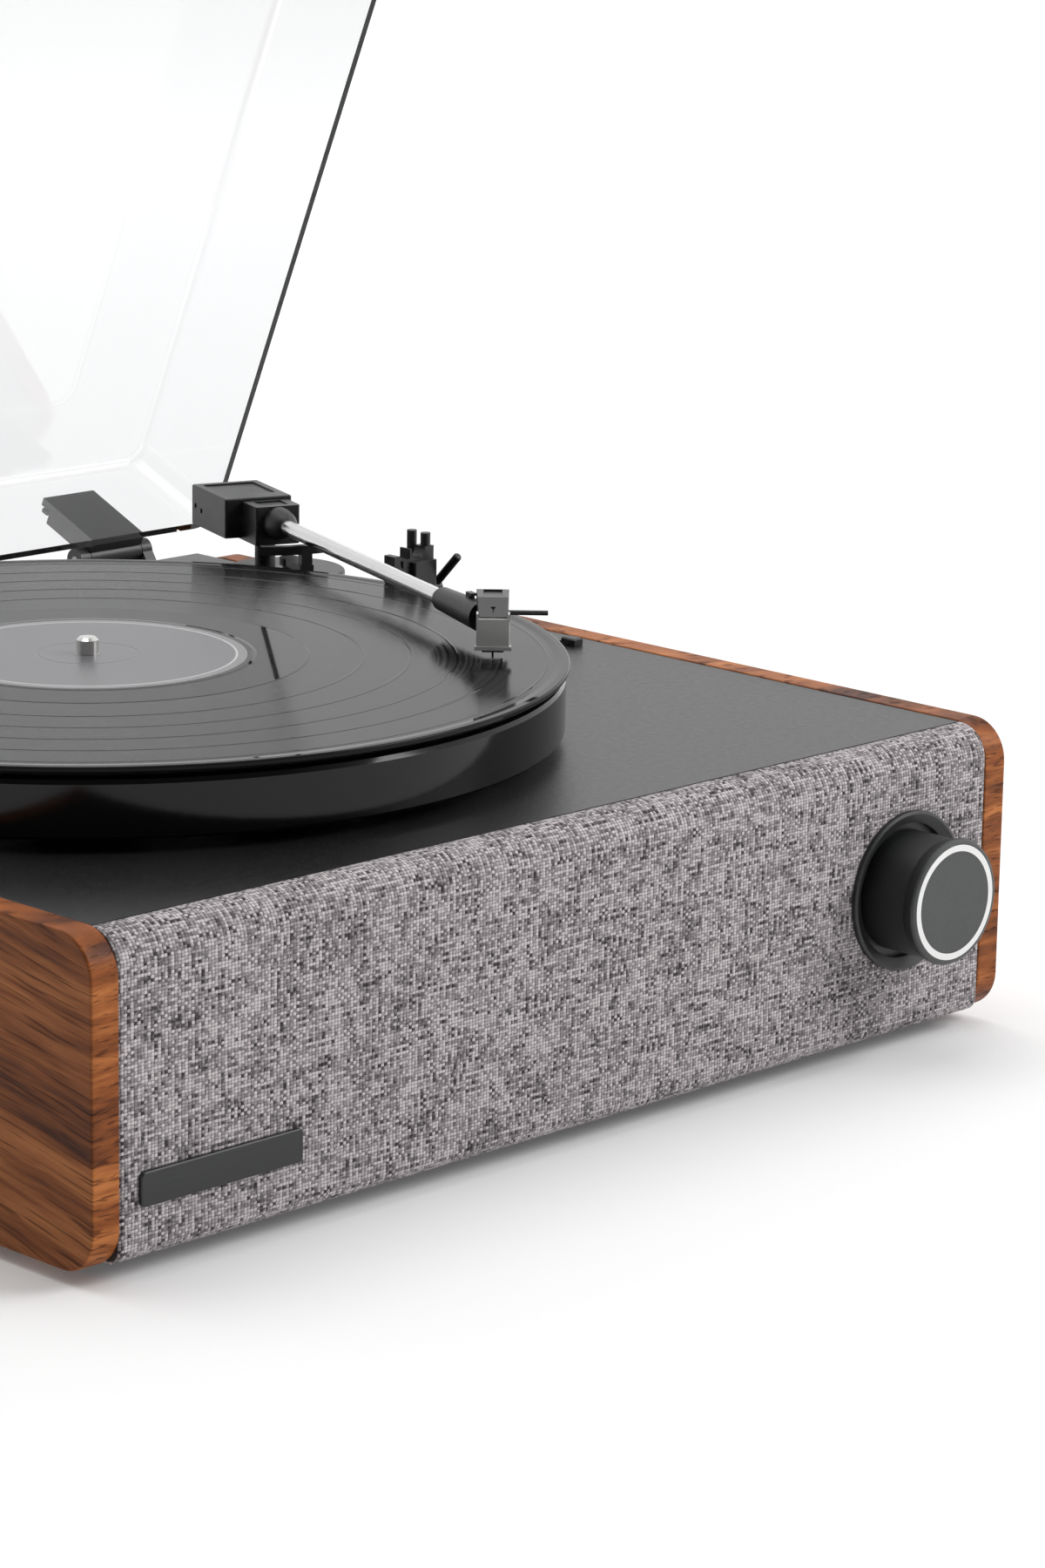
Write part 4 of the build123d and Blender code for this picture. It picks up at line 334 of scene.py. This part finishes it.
def make_weave():
    """Yarns over and under each other, each one with its own run of light and dark fibre, with painted shade
    where a yarn runs low.
    """
    sockets = [("Warp Pitch", "Float", warp_pitch), ("Weft Pitch", "Float", weft_pitch)]
    sockets += [("Dark", "Color", yarn_dark), ("Middle", "Color", yarn_middle)]
    sockets += [("Light", "Color", yarn_light)]
    results = [("Color", "Color", None), ("Height", "Float", None)]
    tree, given, made = new_group("heather_weave", sockets, results)
    flat = add(tree, "UVMap", {"uv_map": "flat"}).outputs["UV"]
    drift = add(tree, "TexNoise", None, {"Vector": flat, "Scale": 120.0, "Detail": 2.0}).outputs["Color"]
    sway = add(tree, "SeparateXYZ", None, {0: drift})
    split = add(tree, "SeparateXYZ", None, {0: flat})
    cells = []
    for axis, pitch in (("X", "Warp Pitch"), ("Y", "Weft Pitch")):
        plain = maths(tree, "DIVIDE", split.outputs[axis], given.outputs[pitch])
        wander = maths(tree, "MULTIPLY", sway.outputs[axis], yarn_wander)
        cells.append(maths(tree, "ADD", plain, wander))
    numbers = [maths(tree, "FLOOR", cell) for cell in cells]
    inside = [maths(tree, "FRACT", cell) for cell in cells]
    humps = [maths(tree, "SINE", maths(tree, "MULTIPLY", part, pi)) for part in inside]
    pair = maths(tree, "MULTIPLY", maths(tree, "ADD", numbers[0], numbers[1]), 0.5)
    warp_over = maths(tree, "GREATER_THAN", maths(tree, "FRACT", pair), 0.25)
    shades = []
    for own, other, seed in ((0, 1, 3.7), (1, 0, 41.3)):
        yarn = maths(tree, "MULTIPLY", numbers[own], yarn_jump)
        along = maths(tree, "MULTIPLY", cells[other], fibre_run)
        where = add(tree, "CombineXYZ", None, {"X": yarn, "Y": along, "Z": seed}).outputs[0]
        fibre = add(tree, "TexNoise", None, {"Vector": where, "Scale": 1.0, "Detail": 3.0, "Roughness": 0.75})
        shades.append(fibre.outputs["Fac"])
    gap = maths(tree, "SUBTRACT", shades[0], shades[1])
    shade = maths(tree, "ADD", shades[1], maths(tree, "MULTIPLY", gap, warp_over))
    patch = add(tree, "TexNoise", None, {"Vector": flat, "Scale": 60.0, "Detail": 3.0}).outputs["Fac"]
    spread_patch = maths(tree, "MULTIPLY", maths(tree, "SUBTRACT", patch, 0.5), patch_strength)
    shade = maths(tree, "ADD", shade, spread_patch)
    dark_half = blended(tree, ranged(tree, shade, 0.36, 0.47), given.outputs["Dark"], given.outputs["Middle"])
    colour = blended(tree, ranged(tree, shade, 0.47, 0.58), dark_half, given.outputs["Light"])
    across = maths(tree, "SUBTRACT", humps[0], humps[1])
    crown = maths(tree, "ADD", humps[1], maths(tree, "MULTIPLY", across, warp_over))
    under = maths(tree, "SUBTRACT", maths(tree, "ADD", humps[0], humps[1]), crown)
    height = maths(tree, "ADD", maths(tree, "MULTIPLY", crown, 0.65), maths(tree, "MULTIPLY", under, 0.35))
    # The low parts of the weave are darkened: painted shade between the yarns.
    shadow = ranged(tree, height, 0.15, 0.75, 0.40, 1.0)
    shaded = add(tree, "VectorMath", {"operation": "SCALE"}, {0: colour, "Scale": shadow}).outputs[0]
    tree.links.new(shaded, made.inputs["Color"])
    tree.links.new(height, made.inputs["Height"])
    return tree


heather, tree, shader = new_material("heather_cloth")
weave = place_group(tree, make_weave())
tree.links.new(weave.outputs["Color"], shader.inputs["Base Color"])
tree.links.new(ranged(tree, weave.outputs["Height"], 0.0, 1.0, 0.98, 0.84), shader.inputs["Roughness"])
shader.inputs["Sheen Weight"].default_value = 0.12
shader.inputs["Specular IOR Level"].default_value = 0.25
dented(tree, shader, weave.outputs["Height"], weave_depth)

bm = bmesh.new()
columns = int(cloth_width / cloth_step)
rows = int(cloth_length / cloth_step)
bmesh.ops.create_grid(bm, x_segments=columns, y_segments=rows, size=0.5)
bmesh.ops.scale(bm, verts=bm.verts, vec=(cloth_width, cloth_length, 1))
bmesh.ops.translate(bm, verts=bm.verts, vec=(cloth_low[0] + cloth_width / 2, cloth_length / 2, 0))
hole = Vector((knob_x, bottom_run + bottom_turn + knob_z - cloth_low[2] - bottom_round, 0))
inside_hole = [face for face in bm.faces if (face.calc_center_median() - hole).length < hole_radius]
bmesh.ops.delete(bm, geom=inside_hole, context="FACES")
for vert in bm.verts:
    reach = vert.co - hole
    if reach.length < hole_radius + 0.7 * cloth_step and vert.is_boundary:
        vert.co = hole + reach.normalized() * hole_radius
flat_uv = bm.loops.layers.uv.new("flat")
for face in bm.faces:
    for loop in face.loops:
        loop[flat_uv].uv = (loop.vert.co.x, loop.vert.co.y)
for vert in bm.verts:
    y, z = round_the_baffle(vert.co.y)
    vert.co = Vector((vert.co.x, y, z))
cloth = new_piece("grille_cloth_sheet", bm, heather, "cabinet")
thick = cloth.modifiers.new("thickness", "SOLIDIFY")
thick.thickness = cloth_thickness
thick.offset = -1.0
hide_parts("grille_cloth")

# ---------------------------------------------------------------- badge plate
# A blank plate of black anodised aluminium, brushed along its length, glued on the cloth.
badge_colour = (0.016, 0.017, 0.018, 1)
paint(finish("black_anodised", badge_colour, 0.36, spread=0.7, scale=90.0, tooth=1300.0, depth=0.00001,
             stretch=(0.05, 1.0, 1.0)), "badge_plate")

# ---------------------------------------------------------------- volume knob
# A turned knob in satin charcoal with a white ring let into its face, in a dished bezel.
# Its steel shaft goes into the volume control behind the baffle.
knob_side = (0.012, 0.013, 0.013, 1)
knob_face = (0.058, 0.060, 0.060, 1)
bezel_colour = (0.022, 0.024, 0.023, 1)
ring_colour = (0.86, 0.86, 0.85, 1)
shaft_colour = (0.55, 0.55, 0.56, 1)
case_colour = (0.03, 0.03, 0.032, 1)
face_depth = 0.0012
turning_pitch = 0.00035
turning_depth = 0.00002

knob_finish, tree, shader = new_material("satin_charcoal")
place = add(tree, "TexCoord").outputs["Object"]
depth_in = add(tree, "SeparateXYZ", None, {0: place}).outputs["Y"]
on_face = ranged(tree, depth_in, knob_low[1] + face_depth / 2, knob_low[1] + face_depth, 1.0, 0.0)
centred = add(tree, "Mapping", None, {"Vector": place, "Location": (-knob_x, 0, -knob_z)}).outputs[0]
flattened = add(tree, "VectorMath", {"operation": "MULTIPLY"}, {0: centred, 1: (1, 0, 1)}).outputs[0]
out = add(tree, "VectorMath", {"operation": "LENGTH"}, {0: flattened}).outputs["Value"]
turning = maths(tree, "SINE", maths(tree, "MULTIPLY", out, 2 * pi / turning_pitch))
grain = place_group(tree, surface_grain, {"Color": knob_face, "Spread": 0.35, "Roughness": 0.48})
side_grain = place_group(tree, surface_grain, {"Color": knob_side, "Spread": 0.6, "Roughness": 0.42})
colour = blended(tree, on_face, side_grain.outputs["Color"], grain.outputs["Color"])
tree.links.new(colour, shader.inputs["Base Color"])
tree.links.new(grain.outputs["Roughness"], shader.inputs["Roughness"])
height = maths(tree, "ADD", grain.outputs["Height"], maths(tree, "MULTIPLY", turning, 0.25))
dented(tree, shader, height, turning_depth)
paint(knob_finish, "volume_knob")
paint(finish("bezel_plastic", bezel_colour, 0.44, depth=0.00002), "knob_bezel")
paint(finish("white_ring", ring_colour, 0.35, spread=0.05, depth=0.00001), "knob_ring")
paint(finish("bright_shaft", shaft_colour, 0.25, spread=0.2, metallic=1.0), "knob_shaft")
paint(finish("control_case", case_colour, 0.5), "volume_potentiometer")

# ---------------------------------------------------------------- deck plate
# A flat plate with a fine-textured matt black finish; it drops in between the side panels.
deck_colour = (0.012, 0.012, 0.0125, 1)
deck_finish = finish("textured_black", deck_colour, 0.33, spread=1.1, scale=420.0, tooth=1900.0,
                     depth=0.00009, unevenness=0.14)
paint(deck_finish, "deck_plate")

# ---------------------------------------------------------------- electronics
# The circuit board stands on nylon posts on the bottom panel, with its capacitors and chips on top.
board_green = (0.012, 0.095, 0.040, 1)
component_black = (0.025, 0.025, 0.028, 1)
nylon_white = (0.70, 0.69, 0.65, 1)
paint(finish("board_green", board_green, 0.34, spread=0.8, scale=300.0), "circuit_board")
paint(finish("component_black", component_black, 0.36, spread=0.6), "board_components")
paint(finish("nylon_white", nylon_white, 0.48, spread=0.15), "board_standoffs")

# ---------------------------------------------------------------- motor, belt and bearing
# The motor hangs on rubber grommets; its brass pulley drives a ring under the platter by a flat belt.
# The platter's bearing is a brass sleeve pressed through the deck plate.
brass = (0.62, 0.44, 0.17, 1)
motor_steel = (0.45, 0.45, 0.46, 1)
belt_black = (0.010, 0.010, 0.010, 1)
paint(finish("motor_can", motor_steel, 0.32, spread=0.2, metallic=1.0, stretch=(1, 1, 0.1)), "motor")
paint(finish("grommet_rubber", rubber_colour, 0.75, depth=0.00005), "motor_grommets")
paint(finish("turned_brass", brass, 0.26, spread=0.25, metallic=1.0, stretch=(0.1, 0.1, 1)),
      "motor_pulley", "bearing_housing")
paint(finish("belt_rubber", belt_black, 0.66, depth=0.00004), "drive_belt")

# ---------------------------------------------------------------- platter and mat
# A pressed platter with a deep rim, painted in black gloss, and a thin felt slip mat on it.
platter_gloss = (0.0035, 0.0034, 0.0034, 1)
felt_black = (0.014, 0.014, 0.015, 1)
paint(finish("gloss_black", platter_gloss, 0.10, spread=0.5, scale=30.0, tooth=400.0, depth=0.000004,
             unevenness=0.03, shine=0.28), "platter")
paint(finish("black_felt", felt_black, 0.92, spread=1.4, scale=500.0, tooth=1600.0, depth=0.00015),
      "slip_mat")

# ---------------------------------------------------------------- record
# A pressed vinyl disc: a raised bead at the rim, a narrow lead-in, five bands of grooves with
# smooth gaps between, a smooth run-out and a raised collar round the pressed-in label.
record_low, record_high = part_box("record")
label_low, label_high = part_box("record_label")
disc_x = (record_low[0] + record_high[0]) / 2
disc_y = (record_low[1] + record_high[1]) / 2
disc_radius = (record_high[0] - record_low[0]) / 2
label_radius = (label_high[0] - label_low[0]) / 2
disc_bottom, disc_top = record_low[2], record_high[2]
disc_hole = 0.00367
edge_round = 0.0006
bead_width = 0.0024
groove_sink = 0.00022           # the grooves lie this far below the top of the bead
smooth_sink = 0.00012           # the gaps and the run-out lie this far below it
band_edges = (0.0690, 0.0862, 0.1008, 0.1154, 0.1295, 0.1436)
gap_width = 0.0011
band_fade = 0.0003
band_slope = 0.0004
last_groove = 0.0022            # from the outermost smooth gap, where the grooves start to fade
past_grooves = 0.0026
collar_foot = 0.0030            # the raised collar round the label starts and ends this far out
collar_top = 0.0016
turn_steps = 192
corner_hold = 0.00006
vinyl_colour = (0.010, 0.010, 0.0105, 1)
vinyl_shine = 0.10
groove_pitch = 0.00042
groove_depth = 0.000009
smooth_roughness = 0.035


def turned(name, profile, centre, material, body, slot, closed=True):
    """A piece turned on a vertical axis from a profile of (radius, height) points."""
    bm = bmesh.new()
    verts = [bm.verts.new((centre[0] + radius, centre[1], height)) for radius, height in profile]
    edges = [bm.edges.new(pair) for pair in zip(verts, verts[1:])]
    if closed:
        edges.append(bm.edges.new((verts[-1], verts[0])))
    bmesh.ops.spin(bm, geom=verts + edges, cent=(centre[0], centre[1], 0), axis=(0, 0, 1),
                   angle=2 * pi, steps=turn_steps, use_merge=True)
    bmesh.ops.remove_doubles(bm, verts=bm.verts, dist=1e-6)
    bmesh.ops.recalc_face_normals(bm, faces=bm.faces)
    return new_piece(name, bm, material, body)


def held_corners(profile):
    """The profile with extra points close to the ends of its long runs, so that they shade flat."""
    held = []
    for here, following in zip(profile, profile[1:] + profile[:1]):
        held.append(here)
        run = Vector(following) - Vector(here)
        if run.length > 6 * corner_hold:
            step = run.normalized() * corner_hold
            held.append(tuple(Vector(here) + step))
            held.append(tuple(Vector(following) - step))
    return held


def rounded_corner(radius, height, size, start, steps=4):
    """Points of a quarter round about that centre, from a start angle."""
    angles = [start + pi / 2 * step / steps for step in range(steps + 1)]
    return [(radius + size * cos(angle), height + size * sin(angle)) for angle in angles]


def ring_distance(tree, centre):
    """How far a point is from a vertical axis; returns the value."""
    place = add(tree, "TexCoord").outputs["Object"]
    moved = add(tree, "Mapping", None, {"Vector": place, "Location": (-centre[0], -centre[1], 0)}).outputs[0]
    level = add(tree, "VectorMath", {"operation": "MULTIPLY"}, {0: moved, 1: (1, 1, 0)}).outputs[0]
    return add(tree, "VectorMath", {"operation": "LENGTH"}, {0: level}).outputs["Value"]


def ring_noise(tree, out, scale, detail=2.0):
    """Noise that depends on the radius alone; returns the value."""
    where = add(tree, "CombineXYZ", None, {"X": maths(tree, "MULTIPLY", out, scale)}).outputs[0]
    return add(tree, "TexNoise", None, {"Vector": where, "Scale": 1.0, "Detail": detail}).outputs["Fac"]


vinyl, tree, shader = new_material("pressed_vinyl")
out = ring_distance(tree, (disc_x, disc_y))
in_bands = ranged(tree, out, band_edges[0] - band_fade, band_edges[0] + band_fade)
outermost = band_edges[-1]
before_rim = ranged(tree, out, outermost + last_groove, outermost + past_grooves, 1.0, 0.0)
grooved = maths(tree, "MULTIPLY", in_bands, before_rim)
for middle in band_edges[1:]:
    off_gap = maths(tree, "ABSOLUTE", maths(tree, "SUBTRACT", out, middle))
    grooved = maths(tree, "MULTIPLY", grooved, ranged(tree, off_gap, gap_width * 0.35, gap_width * 0.55))
loud = ring_noise(tree, out, 900.0, 3.0)
passage = ring_noise(tree, out, 240.0, 2.0)
mixed = maths(tree, "ADD", maths(tree, "MULTIPLY", loud, 0.75), maths(tree, "MULTIPLY", passage, 0.25))
# In the grooved bands the colour swings lighter and darker in rings: painted sheen of the grooves; the same
# noise also sets their roughness and bumps.
groove_sheen = ranged(tree, mixed, 0.35, 0.65, 0.2, 3.2)
groove_sheen = maths(tree, "ADD", maths(tree, "MULTIPLY", maths(tree, "SUBTRACT", groove_sheen, 1.0), grooved), 1.0)
black = add(tree, "VectorMath", {"operation": "SCALE"}, {0: vinyl_colour[:3], "Scale": groove_sheen}).outputs[0]
tree.links.new(black, shader.inputs["Base Color"])
gloss = maths(tree, "MULTIPLY", ranged(tree, mixed, 0.35, 0.65, 0.03, 0.14), grooved)
tree.links.new(maths(tree, "ADD", gloss, smooth_roughness), shader.inputs["Roughness"])
ripple = maths(tree, "SINE", maths(tree, "MULTIPLY", out, 2 * pi / groove_pitch))
ripple = maths(tree, "ADD", maths(tree, "MULTIPLY", ripple, 0.30), loud)
dented(tree, shader, maths(tree, "MULTIPLY", ripple, grooved), groove_depth)
shader.inputs["Specular IOR Level"].default_value = vinyl_shine

groove_level = disc_top - groove_sink
smooth_level = disc_top - smooth_sink
profile = [(disc_hole, disc_bottom)]
profile += rounded_corner(disc_radius - edge_round, disc_bottom + edge_round, edge_round, -pi / 2)
profile += rounded_corner(disc_radius - edge_round, disc_top - edge_round, edge_round, 0.0)
profile += [(disc_radius - bead_width, disc_top), (disc_radius - 2 * bead_width, groove_level)]
for middle in reversed(band_edges[1:]):
    profile += [(middle + gap_width / 2, groove_level), (middle + gap_width / 4, smooth_level)]
    profile += [(middle - gap_width / 4, smooth_level), (middle - gap_width / 2, groove_level)]
profile += [(band_edges[0] + band_slope, groove_level), (band_edges[0], smooth_level)]
profile += [(label_radius + collar_foot, smooth_level), (label_radius + collar_top, disc_top)]
profile += [(label_radius, disc_top), (label_radius, label_low[2]), (disc_hole, label_low[2])]
disc = turned("vinyl_disc", held_corners(profile), (disc_x, disc_y), vinyl, "platter", "vinyl")
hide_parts("record")

# ---------------------------------------------------------------- record label
# A disc of grey paper with a thin printed circle near its edge and a pressed ring round the hole.
label_colour = (0.146, 0.143, 0.151, 1)
label_line = (0.56, 0.55, 0.55, 1)
label_tooth = 0.00001
printed_ring = 0.0466
line_width = 0.00028
margin_fade = 0.0003
margin_tint = 0.16
paper_gap = 0.0001
pressed_ring = 0.0157
ring_slope = 0.0006
ring_sink = 0.00009
hole_slope = 0.0004
hole_sink = 0.00005

label_finish, tree, shader = new_material("label_paper")
out = ring_distance(tree, (disc_x, disc_y))
grain = place_group(tree, surface_grain, {
    "Color": label_colour, "Spread": 0.22, "Scale": 220.0, "Roughness": 0.30,
})
from_line = maths(tree, "ABSOLUTE", maths(tree, "SUBTRACT", out, printed_ring))
on_line = ranged(tree, from_line, line_width, line_width * 1.5, 1.0, 0.0)
outside = ranged(tree, out, printed_ring, printed_ring + margin_fade)
paler = blended(tree, maths(tree, "MULTIPLY", outside, margin_tint), grain.outputs["Color"], label_line)
tree.links.new(blended(tree, on_line, paler, label_line), shader.inputs["Base Color"])
tree.links.new(grain.outputs["Roughness"], shader.inputs["Roughness"])
dented(tree, shader, grain.outputs["Height"], label_tooth)

paper_top = label_high[2]
paper_edge = label_radius - paper_gap
paper = [(disc_hole, label_low[2]), (paper_edge, label_low[2]), (paper_edge, paper_top)]
paper += [(pressed_ring + ring_slope, paper_top), (pressed_ring, paper_top - ring_sink)]
paper += [(pressed_ring - ring_slope, paper_top), (disc_hole + hole_slope, paper_top)]
paper += [(disc_hole, paper_top - hole_sink)]
label = turned("paper_label", held_corners(paper), (disc_x, disc_y), label_finish, "platter", "label_paper")
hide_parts("record_label")

# ---------------------------------------------------------------- spindle
# Turned and chromed steel, pressed into the platter.
chrome_colour = (0.72, 0.71, 0.69, 1)
paint(finish("chrome", chrome_colour, 0.11, spread=0.1, metallic=1.0, depth=0.000003), "spindle")

# ---------------------------------------------------------------- tonearm
# Base, yoke, housing, collars, headshell and stylus holder are moulded in satin black nylon.
# The tube is drawn aluminium, polished, and the cartridge is light grey.
arm_colour = (0.018, 0.018, 0.019, 1)
head_colour = (0.030, 0.030, 0.031, 1)
cap_colour = (0.50, 0.50, 0.49, 1)
tube_colour = (0.80, 0.80, 0.79, 1)
weight_colour = (0.34, 0.34, 0.35, 1)
pivot_colour = (0.60, 0.60, 0.61, 1)
arm_black = finish("satin_nylon", arm_colour, 0.36, spread=0.6, scale=120.0, tooth=2200.0, depth=0.00002)
head_black = finish("head_nylon", head_colour, 0.34, spread=0.5, scale=150.0, tooth=2400.0, depth=0.00002)
paint(arm_black, "tonearm_base", "tonearm_yoke", "pivot_housing", "tube_collar", "head_collar", "stylus")
paint(head_black, "headshell")
paint(finish("drawn_aluminium", tube_colour, 0.16, spread=0.12, scale=40.0, tooth=900.0, metallic=1.0,
             depth=0.000004), "tonearm_tube")
paint(finish("cap_grey", cap_colour, 0.42, spread=0.12, scale=200.0, depth=0.00001), "cartridge")
paint(finish("weight_steel", weight_colour, 0.36, spread=0.3, metallic=1.0), "counterweight")
paint(finish("pivot_steel", pivot_colour, 0.22, spread=0.15, metallic=1.0), "pivot_pins")

# ---------------------------------------------------------------- arm rest, lift bar and controls
# The rest, the cue lever, the speed selector and the auto-stop switch are moulded in black plastic
# and stand on the deck; the lift bar rises out of the tonearm's base.
control_colour = (0.020, 0.020, 0.021, 1)
paint(arm_black, "arm_rest", "lift_bar", "cue_lever")
control_black = finish("control_plastic", control_colour, 0.40, spread=0.5, tooth=1800.0)
paint(control_black, "speed_selector", "auto_stop_switch")

# ---------------------------------------------------------------- jacks
# A black plate on the rear panel carries two line-out jacks, plated brass, and the power inlet.
plate_colour = (0.022, 0.022, 0.023, 1)
plating_colour = (0.78, 0.58, 0.25, 1)
inlet_colour = (0.018, 0.018, 0.018, 1)
paint(finish("plate_black", plate_colour, 0.50, spread=0.6), "jack_plate")
paint(finish("plated_brass", plating_colour, 0.20, spread=0.15, metallic=1.0), "rca_jacks")
paint(finish("inlet_black", inlet_colour, 0.38), "power_jack")

# ---------------------------------------------------------------- hinges
# Black nylon leaves with ribs on the cover, and brackets behind the rear panel, on steel pins.
nylon_black = (0.013, 0.013, 0.014, 1)
pin_colour = (0.28, 0.28, 0.29, 1)
hinge_black = finish("hinge_nylon", nylon_black, 0.38, spread=0.6, tooth=1800.0, depth=0.00003)
paint(hinge_black, "hinge_brackets", "hinge_leaves")
paint(finish("hinge_steel", pin_colour, 0.32, spread=0.2, metallic=1.0), "hinge_pins", "hinge_screws")

# ---------------------------------------------------------------- dust cover
# One moulding of clear acrylic with a faint grey tint; soft black bumpers sit at its front corners.
acrylic_tint = (0.872, 0.876, 0.882, 1)
acrylic_ior = 1.49
bumper_colour = (0.05, 0.05, 0.052, 1)

clear, tree, shader = new_material("clear_acrylic")
haze = add(tree, "TexNoise", None, {"Vector": add(tree, "TexCoord").outputs["Object"], "Scale": 18.0})
tree.links.new(ranged(tree, haze.outputs["Fac"], 0.3, 0.7, 0.01, 0.03), shader.inputs["Roughness"])
shader.inputs["Base Color"].default_value = acrylic_tint
shader.inputs["Transmission Weight"].default_value = 1.0
shader.inputs["IOR"].default_value = acrylic_ior
see_through = add(tree, "BsdfTransparent", None, {"Color": acrylic_tint})
light_path = add(tree, "LightPath")
choice = add(tree, "MixShader", None, {
    0: light_path.outputs["Is Shadow Ray"], 1: shader.outputs["BSDF"], 2: see_through.outputs["BSDF"],
})
tree.links.new(choice.outputs["Shader"], tree.nodes["Material Output"].inputs["Surface"])
paint(clear, "dust_cover")
paint(finish("bumper_rubber", bumper_colour, 0.6), "lid_bumpers")

# ---------------------------------------------------------------- floor and light
# A pale matt sweep, glowing faintly near the object and more further off (painted light on the far floor),
# a bright studio behind and above the object, dimmer on the camera's side, and one soft lamp from the front
# right and one from above.
floor_size = 40.0
floor_colour = (0.90, 0.90, 0.90, 1)
floor_cloud = (0.885, 0.885, 0.885, 1)
glow_start, glow_end = 0.7, 2.4         # distances from the object, in metres
glow_near, glow_far = 0.08, 0.46
white = (1, 1, 1, 1)
away = (0.7145, 0.6997, 0.0)            # level, from the camera to the object
dim_side, bright_side = 0.10, 1.0

sweep, tree, shader = new_material("matt_sweep")
cloud = add(tree, "TexNoise", None, {"Vector": add(tree, "TexCoord").outputs["Object"], "Scale": 0.4})
pale = blended(tree, cloud.outputs["Fac"], floor_colour, floor_cloud)
tree.links.new(pale, shader.inputs["Base Color"])
shader.inputs["Roughness"].default_value = 0.95
shader.inputs["Specular IOR Level"].default_value = 0.1
shader.inputs["Emission Color"].default_value = white
# Emission rises with distance from the object: painted light that carries the floor into the white studio.
place = add(tree, "TexCoord").outputs["Object"]
distance = add(tree, "VectorMath", {"operation": "LENGTH"}, {0: place}).outputs["Value"]
glow = ranged(tree, distance, glow_start, glow_end, glow_near, glow_far)
tree.links.new(glow, shader.inputs["Emission Strength"])
bm = bmesh.new()
bmesh.ops.create_grid(bm, x_segments=4, y_segments=4, size=floor_size / 2)
mesh = bpy.data.meshes.new("floor")
bm.to_mesh(mesh)
bm.free()
floor = bpy.data.objects.new("floor", mesh)
mesh.materials.append(sweep)
bpy.context.scene.collection.objects.link(floor)

world = bpy.data.worlds.new("studio")
world.use_nodes = True
bpy.context.scene.world = world
tree = world.node_tree
background = tree.nodes["Background"]
heading = add(tree, "VectorMath", {"operation": "DOT_PRODUCT"}, {
    0: add(tree, "TexCoord").outputs["Generated"], 1: away,
}).outputs["Value"]
studio = ranged(tree, heading, -0.50, 0.30, dim_side, bright_side)
seen = add(tree, "LightPath").outputs["Is Camera Ray"]
tree.links.new(maths(tree, "MAXIMUM", studio, seen), background.inputs["Strength"])
background.inputs["Color"].default_value = white


def soft_lamp(name, place, aim, size, power):
    """A square soft lamp that points at a spot."""
    lamp = bpy.data.lights.new(name, "AREA")
    lamp.shape = "SQUARE"
    lamp.size = size
    lamp.energy = power
    holder = bpy.data.objects.new(name, lamp)
    holder.location = place
    holder.rotation_mode = "QUATERNION"
    holder.rotation_quaternion = (Vector(aim) - Vector(place)).to_track_quat("-Z", "Y")
    bpy.context.scene.collection.objects.link(holder)


soft_lamp("front_right", (1.9, -1.9, 1.9), (0, 0, 0.05), 1.5, 52.0)
soft_lamp("overhead", (-0.2, 0.5, 2.8), (0, 0, 0.1), 2.2, 24.0)

# ---------------------------------------------------------------- camera
# It stands in front and to the left, a little above the cabinet, with a long lens.
camera_place = (-1.01018, -1.14967, 0.45479)
camera_yaw = radians(45.60)
camera_pitch = radians(13.85)
camera_roll = radians(0.948)
focal_length = 112.48
sensor_width = 36.0

flat_reach = cos(camera_pitch)
ahead = Vector((sin(camera_yaw) * flat_reach, cos(camera_yaw) * flat_reach, -sin(camera_pitch)))
level_right = Vector((cos(camera_yaw), -sin(camera_yaw), 0))
level_up = level_right.cross(ahead)
right = level_right * cos(camera_roll) + level_up * sin(camera_roll)
up = level_up * cos(camera_roll) - level_right * sin(camera_roll)
lens = bpy.data.cameras.new("camera")
lens.lens = focal_length
lens.sensor_width = sensor_width
lens.clip_start = 0.05
lens.clip_end = 100.0
camera = bpy.data.objects.new("camera", lens)
turn = Matrix((right, up, -ahead)).transposed().to_4x4()
camera.matrix_world = Matrix.Translation(camera_place) @ turn
bpy.context.scene.collection.objects.link(camera)
bpy.context.scene.camera = camera
bpy.context.scene.view_settings.view_transform = "Standard"
